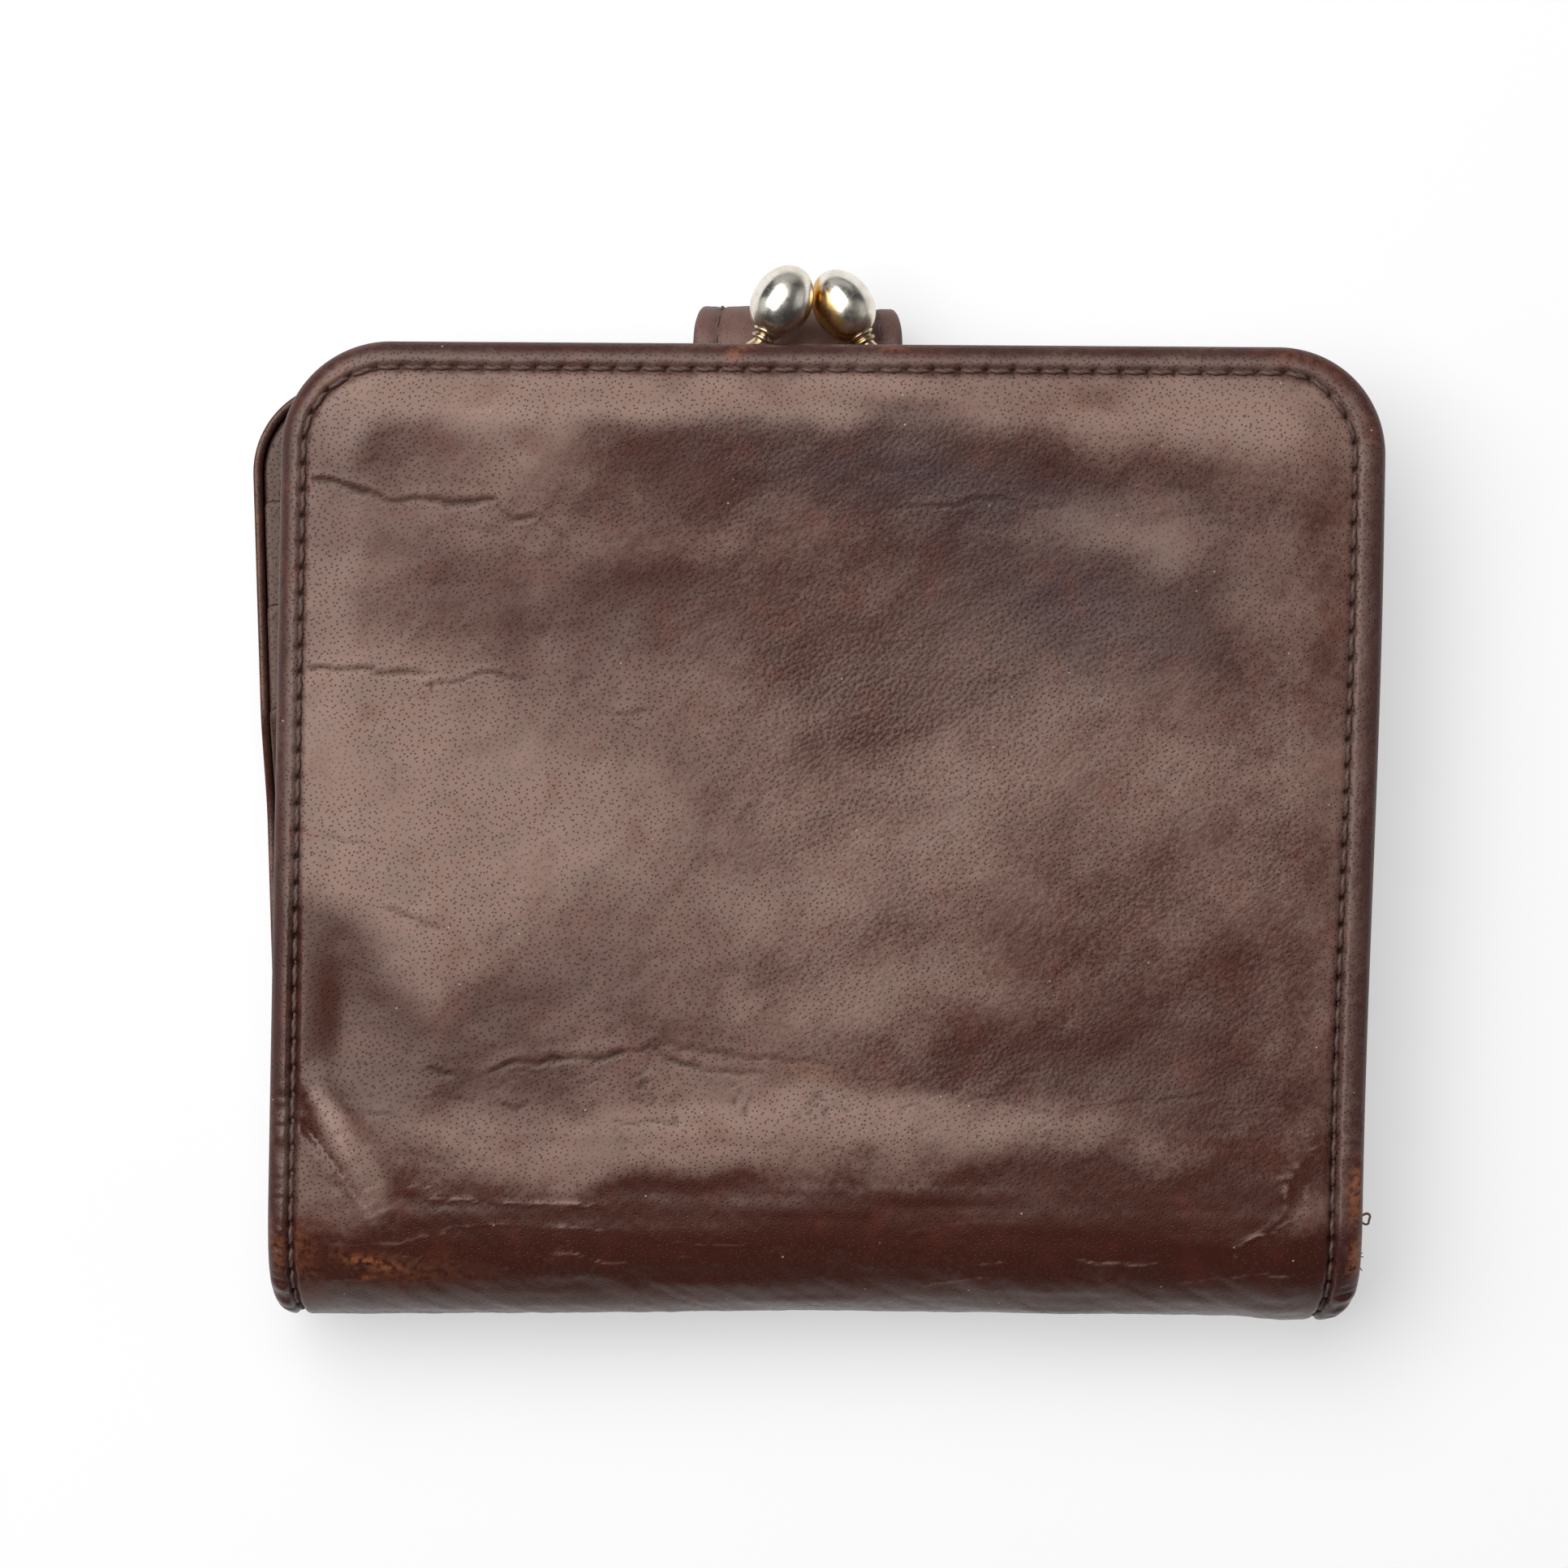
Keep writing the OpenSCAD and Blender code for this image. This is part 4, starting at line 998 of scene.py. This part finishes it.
def make_linings(cloth, soft):
    """Woven lining and side gussets of the coin purse."""
    inset = 2.6
    reach, half, corner = Y_HIGH - inset, HALF_W - inset, CORNER_R - inset
    linings = (("front_lining", SKIN_Z - CLOTH_T / 2, HINGE_Y + 0.8, "coin_front"),
               ("rear_lining", WALL_TOP + CLOTH_T / 2, -31.5, "coin_half"))
    for name, z, s0, body in linings:
        outline = Outline(half, s0, reach, 0.5, corner)
        wrinkle = lambda x, s: 0.10 * rumple(x, s, 14, 9, 231) - 0.05
        leaf = slab(outline, CLOTH_T, 1.6, wrinkle, wrinkle, mottled(0.5, 0.2, 15, 241))
        place = (lambda z: lambda x, s, h: (x, s, z + h))(z)
        piece = leaf.make(name + "_cloth", place, cloth, "lining")
        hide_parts(name)
        if body == "coin_half":
            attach(piece, body)
        else:
            fold_clasp(piece)
    # the rounded bottom of the pouch
    low, high = box_mm("pouch_bottom")
    r = (high[2] - low[2] - CLOTH_T) / 2
    z_mid = (high[2] + low[2]) / 2
    y_mid = low[1] + r + CLOTH_T / 2
    upper, lower = HINGE_Y - 1.2 - y_mid, 1.2
    length = upper + math.pi * r + lower
    width = high[0] - low[0]

    def wrap_bottom(x, s, h):
        a = np.clip((s - upper) / r, 0, math.pi)
        y = y_mid + np.maximum(upper - s, 0) + np.maximum(s - upper - math.pi * r, 0) - (r + h) * np.sin(a)
        return x, y, z_mid + (r + h) * np.cos(a)

    pleat = lambda x, s: 0.12 * rumple(x, s, 5, 20, 251) * smooth(0, 3, s)
    outline = Outline(width / 2, 0, length)
    bottom = slab(outline, CLOTH_T, 1.2, pleat, pleat, mottled(0.45, 0.2, 9, 261))
    piece = bottom.make("pouch_bottom_cloth", wrap_bottom, cloth, "lining")
    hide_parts("pouch_bottom")
    fold_clasp(piece)
    # gussets: a soft V between the two frames at each side
    for name, sign in (("gusset_left", -1), ("gusset_right", 1)):
        low, high = box_mm(name)
        outer = max(abs(low[0]), abs(high[0]))
        deep = 4.0
        arm = math.hypot(deep, (high[2] - low[2]) / 2)
        run = high[1] - low[1]

        def wrap_gusset(x, s, h):
            v = x / arm
            fold = 1 - np.abs(v)
            soften = np.sqrt(v * v + 0.02) - np.sqrt(0.02)
            px = outer - deep * (1 - soften) - 0.3 + h + 0.25 * np.sin(s / 3.1) * fold
            return sign * px, low[1] + s, (low[2] + high[2]) / 2 + v * (high[2] - low[2]) / 2

        ripple = lambda x, s: 0.10 * rumple(x, s, 3, 5, 271) * smooth(arm, arm - 1.5, np.abs(x))
        outline = Outline(arm, 0, run, 1.0, 2.0)
        leaf = slab(outline, LINER_T, 0.8, ripple, ripple, mottled(0.35, 0.15, 5, 281))
        if sign < 0:
            leaf.faces = [f[:, ::-1] for f in leaf.faces]
        piece = leaf.make(name + "_leather", wrap_gusset, soft, "gusset_leather")
        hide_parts(name)
        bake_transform(piece)


# ---- card half ----

def wrap_card(low):
    """Places a flat piece of the card half whose lower face is at height low above the outer face."""
    def place(x, s, h):
        z = low + h + lift(s)
        return *slewed(x, s), z
    return place


def make_card_half(inner, cloth, thread):
    half = CARD_HALF - EDGE_T
    top = CARD_TOP - EDGE_T
    layers = [("card_panel", PANEL_Z, 0.8, top, CARD_CORNER_R - EDGE_T)]
    for k, mouth in enumerate(MOUTHS):
        layers.append((f"card_pocket_{k + 1}", POCKET_Z + POCKET_STEP * k, 0.65, mouth, 0.8))
    for k, (name, z, t, mouth, r) in enumerate(layers):
        outline = Outline(half, PANEL_LOW, mouth, 0.5, r)

        def top_relief(x, s, mouth=mouth, outline=outline, k=k):
            d = outline.gap(x, s)
            line = 0 if k == 0 else -0.10 * bell(mouth - s - MOUTH_SEAM_IN, 0.25)
            card = 0.10 * smooth(44, 42, np.abs(x)) * smooth(0.5, 2.5, mouth - s) * (k > 0)
            return line + card - 0.12 * bell(d - PANEL_SEAM_IN, 0.35) * (np.abs(x) > half - 4)

        def tones(x, s, mouth=mouth, k=k):
            # the mouth's edge is darker: a painted shadow line along the pocket's step, with a little wear;
            # the stitch line is darker, a painted shade in its groove
            edge = smooth(0.5, 0.05, mouth - s)
            tone = 0.50 + 0.10 * rumple(x, s, 14, 9, 291 + k) - 0.3 * edge
            line = bell(mouth - s - MOUTH_SEAM_IN, 0.25) * (k > 0)
            return {"tone": tone, "dark": 0.4 * edge + 0.4 * line, "wear": 0.25 * edge}

        leaf = slab(outline, t, 0.9, top_relief, None, tones)
        piece = leaf.make(name + "_leather", wrap_card(z + t / 2), inner, "inner_leather")
        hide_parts(name)
        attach(piece, "card_half")
    # lining of the note pocket
    low_edge = box_mm("card_stiffener")[0][1] - 0.6
    outline = Outline(half, low_edge, top, 0.5, CARD_CORNER_R - EDGE_T)
    wrinkle = lambda x, s: 0.08 * rumple(x, s, 16, 10, 301)
    leaf = slab(outline, LINER_T, 1.8, wrinkle, wrinkle, mottled(0.4, 0.2, 15, 311))
    piece = leaf.make("note_pocket_cloth", wrap_card(2.0), cloth, "lining")
    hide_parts("bill_lining")
    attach(piece, "card_half")
    # lining round the inside of the spine
    low, high = box_mm("spine_lining")
    r = (high[2] - low[2] - LINER_T) / 2
    z_mid = (high[2] + low[2]) / 2
    width = high[0] - low[0]

    def wrap_spine_lining(x, s, h):
        a = s / r
        return x, SPINE_Y - (r + h) * np.sin(a), z_mid + (r + h) * np.cos(a)

    gather = lambda x, s: 0.15 * rumple(x, s, 8, 3, 321)
    outline = Outline(width / 2, 0, math.pi * r)
    leaf = slab(outline, LINER_T, 1.2, gather, gather, mottled(0.4, 0.2, 9, 331))
    piece = leaf.make("spine_lining_cloth", wrap_spine_lining, cloth, "lining")
    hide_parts("spine_lining")
    fold_spine(piece)
    # the seam's inner side, along the card panel
    leaf = Leaf()
    for sign in (-1, 1):
        for k in range(int((top - 12 - PANEL_LOW) / PITCH)):
            a = PANEL_LOW + 3 + k * PITCH
            place = lambda q, sign=sign: np.stack([sign * (half - PANEL_SEAM_IN) + 0 * q, q], -1)
            level = POCKET_Z + POCKET_STEP * sum(a < mouth for mouth in MOUTHS) - 0.12
            surface = lambda x, s, level=level: level + 0 * x
            stitch(leaf, place, a, a + PITCH, surface)
    piece = leaf.make("panel_seam", wrap_card(0), thread, "thread")
    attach(piece, "card_half")


# ---- strap ----

def strap_half(s):
    crest = ROOT_RUN + TURN_RUN / 2
    return STRAP_W / 2 - 0.7 * bell(s - crest, 3.2)


STRAP = Outline(strap_half, 0, STRAP_RUN, 1.5, 8)


def wrap_strap(x, s, h):
    a = np.clip((s - ROOT_RUN) / TURN_R, 0, math.pi)
    y = ROOT_Y + np.minimum(s, ROOT_RUN) + (TURN_R + h) * np.sin(a) - np.maximum(s - ROOT_RUN - TURN_RUN, 0)
    return x + STRAP_X, y, TURN_Z + (TURN_R + h) * np.cos(a)


def strap_relief(x, s):
    d = STRAP.gap(x, s)
    crest = bell(s - ROOT_RUN - TURN_RUN / 2, 7)
    h = -0.14 * bell(d - STRAP_SEAM_IN, 0.4) + 0.10 * smooth(2.8, 6, d)
    return h + 0.05 * crest * rumple(x, s, 12, 1.1, 341) + 0.02 * rumple(x, s, 3, 2, 351, 2)


def strap_masks(x, s):
    d = STRAP.gap(x, s)
    crest = bell(s - ROOT_RUN - TURN_RUN / 2, 6)
    # painted highlight: lighter along the crest of the strap's turn
    tone = 0.55 + 0.14 * rumple(x, s, 10, 2.2, 361) + 0.2 * crest
    wear = 0.55 * smooth(0.8, 0.1, d) * smooth(0.1, 0.7, noise(s / 2.2, x / 2, 371) + 0.3 * crest)
    wear = wear + 0.5 * hill(x, s, 10.4, ROOT_RUN + TURN_RUN / 2 - 1, 0.7, 2.4)
    # painted shade in the seam's groove; darker at the very edge
    dark = 0.35 * bell(d - STRAP_SEAM_IN, 0.4) + 0.4 * smooth(0.3, 0, d)
    return {"tone": tone, "wear": wear, "dark": dark}


def make_strap(leather, thread):
    leaf = slab(STRAP, STRAP_T, 0.45, strap_relief, None, strap_masks)
    band = leaf.make("strap_band", wrap_strap, leather, "strap_leather")
    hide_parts("strap_root", "strap_flap")
    fold_strap(band)
    outer = lambda x, s: STRAP_T / 2 + strap_relief(x, s) + 0.02
    place, holes, pitch = seam_line(STRAP, lambda x: STRAP_SEAM_IN + 0 * x, 2.6)
    seam = Leaf()
    for hole in holes:
        stitch(seam, place, hole, hole + pitch, outer, 0.2, 0.15)
    obj = seam.make("strap_seam", wrap_strap, thread, "thread")
    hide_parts("strap_stitching")
    fold_strap(obj)
    # two rows of stitches across the root, seen on its lower face
    rows = Leaf()
    reach = STRAP_W / 2 - 2.6
    under = lambda x, s: STRAP_T / 2 + 0 * x
    for s in (2.0, 12.0):
        across = lambda q, s=s: np.stack([q - reach, s + 0 * q], -1)
        count = int(2 * reach / PITCH)
        for k in range(count):
            stitch(rows, across, k * 2 * reach / count, (k + 1) * 2 * reach / count, under, 0.2, 0.15)
    below = lambda x, s, h: (x + STRAP_X, ROOT_Y + s, WALL_Z - STRAP_T / 2 - h)
    obj = rows.make("root_seam", below, thread, "thread")
    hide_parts("root_stitching")
    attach(obj, "coin_half")


# ---- materials ----

class Look:
    """A material whose nodes are added by saying what feeds what."""

    def __init__(self, name):
        self.material = bpy.data.materials.new(name)
        self.material.use_nodes = True
        self.tree = self.material.node_tree
        self.shader = self.tree.nodes["Principled BSDF"]

    def feed(self, node, inputs):
        for key, value in inputs.items():
            if isinstance(value, bpy.types.NodeSocket):
                self.tree.links.new(value, node.inputs[key])
            else:
                node.inputs[key].default_value = value

    def put(self, name, value):
        self.feed(self.shader, {name: value})

    def add(self, kind, inputs=None, **settings):
        node = self.tree.nodes.new(kind)
        for key, value in settings.items():
            setattr(node, key, value)
        self.feed(node, inputs or {})
        return node.outputs

    def mask(self, name):
        return self.add("ShaderNodeAttribute", attribute_name=name)["Fac"]

    def flat(self, sizes=(1, 1, 1), turn=0):
        """Flat place on a piece, in millimetres; sizes stretch a pattern and turn is in degrees."""
        flat = self.add("ShaderNodeAttribute", attribute_name="flat")["Vector"]
        inputs = {"Vector": flat, "Scale": sizes, "Rotation": (0, 0, math.radians(turn))}
        return self.add("ShaderNodeMapping", inputs, vector_type="TEXTURE")["Vector"]

    def on_node(self, scale=(1, 1, 1)):
        """Place in millimetres, for a CAD node that keeps its own mesh."""
        place = self.add("ShaderNodeTexCoord")["Object"]
        inputs = {"Vector": place, "Scale": tuple(c / MM for c in scale)}
        return self.add("ShaderNodeMapping", inputs)["Vector"]

    def noise(self, vector, scale, detail=3.0, rough=0.5):
        inputs = {"Vector": vector, "Scale": scale, "Detail": detail, "Roughness": rough}
        return self.add("ShaderNodeTexNoise", inputs)["Fac"]

    def cells(self, sizes, turn=0, **settings):
        inputs = {"Vector": self.flat((*sizes, 1), turn), "Scale": 1.0, "Randomness": 0.85}
        return self.add("ShaderNodeTexVoronoi", inputs, voronoi_dimensions="2D", **settings)["Distance"]

    def plus(self, a, b):
        return self.add("ShaderNodeMath", {0: a, 1: b}, operation="ADD")[0]

    def times(self, a, b):
        return self.add("ShaderNodeMath", {0: a, 1: b}, operation="MULTIPLY")[0]

    def ramp(self, value, low, high, to_low=0.0, to_high=1.0):
        inputs = {"Value": value, "From Min": low, "From Max": high, "To Min": to_low, "To Max": to_high}
        return self.add("ShaderNodeMapRange", inputs, interpolation_type="SMOOTHSTEP")["Result"]

    def mix(self, share, a, b):
        a, b = ((*v, 1) if isinstance(v, tuple) else v for v in (a, b))
        return self.add("ShaderNodeMix", {0: share, 6: a, 7: b}, data_type="RGBA")[2]

    def bump(self, height, distance, strength=1.0, normal=None):
        inputs = {"Height": height, "Distance": distance * MM, "Strength": strength}
        if normal is not None:
            inputs["Normal"] = normal
        return self.add("ShaderNodeBump", inputs)["Normal"]


def shaded(colour, *gains):
    """A colour with its channels scaled, all by one gain or each by its own."""
    return tuple(c * gain for c, gain in zip(colour, gains * 3 if len(gains) == 1 else gains))


def leather(name, deep, light, gloss=(0.34, 0.46), pore=0.205, specular=0.5, dust=0.0):
    """Worn aniline leather: deep red and glossy, partly polished and partly a painted shade; grey-brown,
    partly rubbed and partly a painted sheen.
    """
    look = Look(name)
    place = look.flat()
    cloud, fine = look.noise(place, 0.09, 4), look.noise(place, 1.4, 4, 0.6)
    # diagonal streaks of painted sheen in the tone
    diagonal_sheen = look.noise(look.flat((9, 1.6, 1000), 52), 1.0)
    tone = look.mask("tone")
    for pattern, gain in ((cloud, 0.10), (fine, 0.08), (diagonal_sheen, 0.05)):
        tone = look.plus(tone, look.ramp(pattern, 0.3, 0.7, -gain, gain))
    share = look.ramp(tone, 0.0, 1.0)
    colour = look.mix(share, deep, light)
    colour = look.mix(look.times(look.mask("violet"), 0.5), colour, (0.036, 0.026, 0.034))
    red = look.ramp(look.noise(place, 0.22), 0.52, 0.72, 0, 0.3)
    colour = look.mix(red, colour, shaded(deep, 2.2, 2.0, 1.9))
    # grey: diagonal streaks of painted grey sheen, only where the tone is light
    grey = look.ramp(look.noise(look.flat((1.4, 0.8, 1), 35), 0.3, 4), 0.48, 0.70, 0, 0.32)
    colour = look.mix(look.times(grey, share), colour, shaded(light, 0.58, 0.72, 0.75))
    # pores
    dots = look.ramp(look.cells((0.62, 0.52), 30), pore, pore * 0.5)
    pit = look.times(dots, look.ramp(look.noise(place, 0.12, 2), 0.3, 0.55, 0.45, 1.0))
    colour = look.mix(look.times(pit, 0.8), colour, shaded(deep, 0.25))
    worn = look.times(look.mask("wear"), look.ramp(fine, 0.35, 0.6))
    colour = look.mix(look.times(worn, 0.8), colour, (0.26, 0.085, 0.035))
    # the dark mask: painted shade in the creases, stitch holes and seam grooves, and dark hairlines
    colour = look.mix(look.times(look.mask("dark"), 0.85), colour, shaded(deep, 0.2))
    if dust > 0:
        specks = look.ramp(look.cells((9, 8), 25), 0.014, 0.008, 0, dust)
        few = look.ramp(look.noise(place, 0.07, 2), 0.50, 0.62)
        colour = look.mix(look.times(specks, few), colour, (0.42, 0.39, 0.36))
    look.put("Base Color", colour)
    rough = look.plus(look.ramp(tone, 0.0, 1.0, *gloss), look.ramp(fine, 0.3, 0.7, -0.03, 0.05))
    look.put("Roughness", look.plus(rough, look.times(look.mask("dark"), 0.25)))
    look.put("Specular IOR Level", specular)
    look.put("Specular Tint", (1.0, 0.86, 0.76, 1))
    # grain: fine crackle everywhere, small rounded pebbles that lean along the diagonal, pores
    pebble = look.mask("pebble")
    normal = look.bump(look.noise(look.flat((1.3, 0.8, 1), 30), 3.2, 4, 0.65), 0.05, 0.2)
    long = look.noise(look.flat((5, 0.9, 1000), 40), 1.0)
    normal = look.bump(look.times(long, pebble), 0.12, 0.12, normal)
    domes = look.cells((0.56, 0.46), 40, feature="SMOOTH_F1")
    hills = look.times(domes, look.plus(look.times(pebble, -0.85), -0.15))
    normal = look.bump(hills, 0.12, 0.38, normal)
    look.put("Normal", look.bump(look.times(pit, -1), 0.05, 0.7, normal))
    return look.material


def thread_material(name, colour):
    look = Look(name)
    fibre = look.noise(look.flat(), 7.0, 3, 0.6)
    shade = look.mix(look.ramp(fibre, 0.3, 0.7), shaded(colour, 0.6), shaded(colour, 1.5))
    # the dark mask: painted shade between a stitch's plies
    look.put("Base Color", look.mix(look.times(look.mask("dark"), 0.7), shade, shaded(colour, 0.2)))
    look.put("Roughness", look.ramp(fibre, 0.2, 0.8, 0.5, 0.75))
    look.put("Normal", look.bump(fibre, 0.06, 0.6))
    return look.material


def cloth_material(name, warp, weft):
    """Plain weave, about 2.5 threads to the millimetre."""
    look = Look(name)
    place = look.flat()
    wave = {"Vector": place, "Scale": 0.8, "Distortion": 0.4, "Detail": 1.0}
    threads = [look.add("ShaderNodeTexWave", wave, bands_direction=way)["Fac"] for way in ("X", "Y")]
    weave = look.times(*threads)
    slub = look.noise(place, 0.6, 4)
    colour = look.mix(look.ramp(weave, 0.1, 0.7), shaded(warp, 0.55), weft)
    colour = look.mix(look.ramp(slub, 0.4, 0.75, 0, 0.4), colour, warp)
    look.put("Base Color", look.mix(look.times(look.mask("tone"), 0.35), colour, shaded(warp, 0.6)))
    look.put("Roughness", look.ramp(slub, 0.2, 0.8, 0.75, 0.9))
    look.put("Sheen Weight", 0.2)
    look.put("Normal", look.bump(weave, 0.08, 0.6))
    return look.material


def metal_material(name, bright, tarnish, rough, scratches=(1, 1, 1), masks=False):
    """Worn plating: bright, with darker tarnish specks and a yellow metal where it is rubbed."""
    look = Look(name)
    locate = look.flat if masks else look.on_node
    place = locate()
    look.put("Metallic", 1.0)
    cloud = look.noise(place, 0.5, 4, 0.6)
    specks = look.ramp(look.noise(place, 3.6, 3, 0.7), 0.62, 0.70)
    colour = look.mix(look.ramp(cloud, 0.35, 0.75, 0, 0.6), bright, tarnish)
    if masks:
        colour = look.mix(look.mask("wear"), colour, (0.62, 0.36, 0.10))
        colour = look.mix(look.mask("dark"), colour, (0.10, 0.06, 0.02))
    look.put("Base Color", look.mix(look.times(specks, 0.55), colour, shaded(tarnish, 0.18)))
    look.put("Roughness", look.plus(look.ramp(cloud, 0.3, 0.8, *rough), look.times(specks, 0.25)))
    look.put("Normal", look.bump(look.noise(locate(scratches), 2.0, 3, 0.6), 0.01, 0.25))
    return look.material


def board_material(name):
    look = Look(name)
    fibre = look.noise(look.on_node((0.4, 2.0, 1)), 1.6, 5, 0.7)
    look.put("Base Color", look.mix(look.ramp(fibre, 0.3, 0.7), (0.30, 0.21, 0.12), (0.46, 0.36, 0.23)))
    look.put("Roughness", look.ramp(fibre, 0.2, 0.8, 0.7, 0.9))
    look.put("Normal", look.bump(fibre, 0.05, 0.5))
    return look.material


def dress(node, material):
    """Gives a CAD node that keeps its shape its finish."""
    obj = frame["nodes"][node]
    obj.data.materials.clear()
    obj.data.materials.append(material)


# ---- stage ----

def make_floor():
    mesh = bpy.data.meshes.new("floor")
    reach = 2.5
    corners = [(-reach, -reach, 0), (reach, -reach, 0), (reach, reach, 0), (-reach, reach, 0)]
    mesh.from_pydata(corners, [], [(0, 1, 2, 3)])
    floor = bpy.data.objects.new("floor", mesh)
    bpy.context.scene.collection.objects.link(floor)
    paper = Look("pale_paper")
    paper.put("Base Color", (0.45, 0.45, 0.452, 1))
    paper.put("Emission Color", (1, 1, 1, 1))
    paper.put("Emission Strength", 0.52)
    paper.put("Roughness", 0.95)
    paper.put("Specular IOR Level", 0.1)
    mesh.materials.append(paper.material)
    floor.location.z = (box_mm("snap_cap")[0][2] - 0.05) * MM


def area_light(name, place, size, power):
    """A soft panel that faces the middle of the stage."""
    data = bpy.data.lights.new(name, "AREA")
    data.shape, data.size, data.size_y = "RECTANGLE", *size
    data.energy = power
    obj = bpy.data.objects.new(name, data)
    bpy.context.scene.collection.objects.link(obj)
    obj.location = place
    obj.rotation_euler = (Vector() - Vector(place)).to_track_quat("-Z", "Y").to_euler()


def make_lights():
    area_light("softbox", (-0.36, 0.33, 1.0), (1.1, 0.9), 16.5)
    area_light("card_left", (-1.3, 0.1, 0.6), (0.9, 0.9), 1.4)
    area_light("card_right", (1.3, 0.1, 0.6), (0.9, 0.9), 1.4)
    area_light("card_back", (0.0, 1.4, 0.5), (1.8, 0.6), 1.4)
    world = bpy.data.worlds.new("studio")
    world.use_nodes = True
    sky = world.node_tree.nodes["Background"]
    sky.inputs["Color"].default_value = (1, 1, 1, 1)
    sky.inputs["Strength"].default_value = 0.035
    bpy.context.scene.world = world


def make_camera():
    """Straight down, with the wallet a little right of and below the middle, turned one degree."""
    high, view_w = 650, 163.3
    turn = math.radians(1.0)
    right, up = 3.97, -4.65
    x = -right * math.cos(turn) + up * math.sin(turn)
    y = -right * math.sin(turn) - up * math.cos(turn)
    data = bpy.data.cameras.new("camera")
    data.sensor_width = 36
    data.lens = high * data.sensor_width / view_w
    data.clip_start = 0.01
    camera = bpy.data.objects.new("camera", data)
    bpy.context.scene.collection.objects.link(camera)
    camera.location = metres(x, y, FACE_Z + high)
    camera.rotation_euler = (0, 0, turn)
    bpy.context.scene.camera = camera
    bpy.context.scene.view_settings.view_transform = "Standard"


cover = leather("cover_leather", (0.052, 0.0125, 0.0080), (0.228, 0.139, 0.112), specular=0.42, dust=0.8)
inner = leather("inner_leather", (0.045, 0.014, 0.010), (0.110, 0.066, 0.052), gloss=(0.42, 0.55))
soft = leather("gusset_leather", (0.040, 0.015, 0.010), (0.090, 0.050, 0.038), gloss=(0.45, 0.6))
strap = leather("strap_leather", (0.070, 0.026, 0.021), (0.150, 0.078, 0.066),
                gloss=(0.42, 0.55), pore=0.12)
thread = thread_material("thread", (0.115, 0.060, 0.047))
tan = thread_material("torn_fibres", (0.22, 0.10, 0.06))
cloth = cloth_material("lining_cloth", (0.16, 0.10, 0.065), (0.24, 0.16, 0.11))
plating = metal_material("clasp_plating", (0.84, 0.80, 0.72), (0.66, 0.59, 0.47), (0.20, 0.42), masks=True)
steel = metal_material("frame_steel", (0.70, 0.68, 0.64), (0.50, 0.46, 0.40), (0.22, 0.42), (0.3, 0.3, 4))
brass = metal_material("snap_brass", (0.70, 0.56, 0.30), (0.42, 0.31, 0.16), (0.22, 0.42))
cap_plating = metal_material("cap_plating", (0.78, 0.74, 0.66), (0.60, 0.52, 0.40), (0.14, 0.34))
board = board_material("fibre_board")

make_camera()
make_lights()
make_floor()
make_hide(cover)
make_hide_seams(thread)
make_frays(tan)
make_rear_shell(inner)
make_balls(plating)
make_linings(cloth, soft)
make_card_half(inner, cloth, thread)
make_strap(strap, thread)
for part in ("front_frame", "rear_frame", "frame_rivets"):
    dress(part, steel)
for part in ("snap_stud", "snap_post", "snap_socket"):
    dress(part, brass)
dress("snap_cap", cap_plating)
dress("card_stiffener", board)
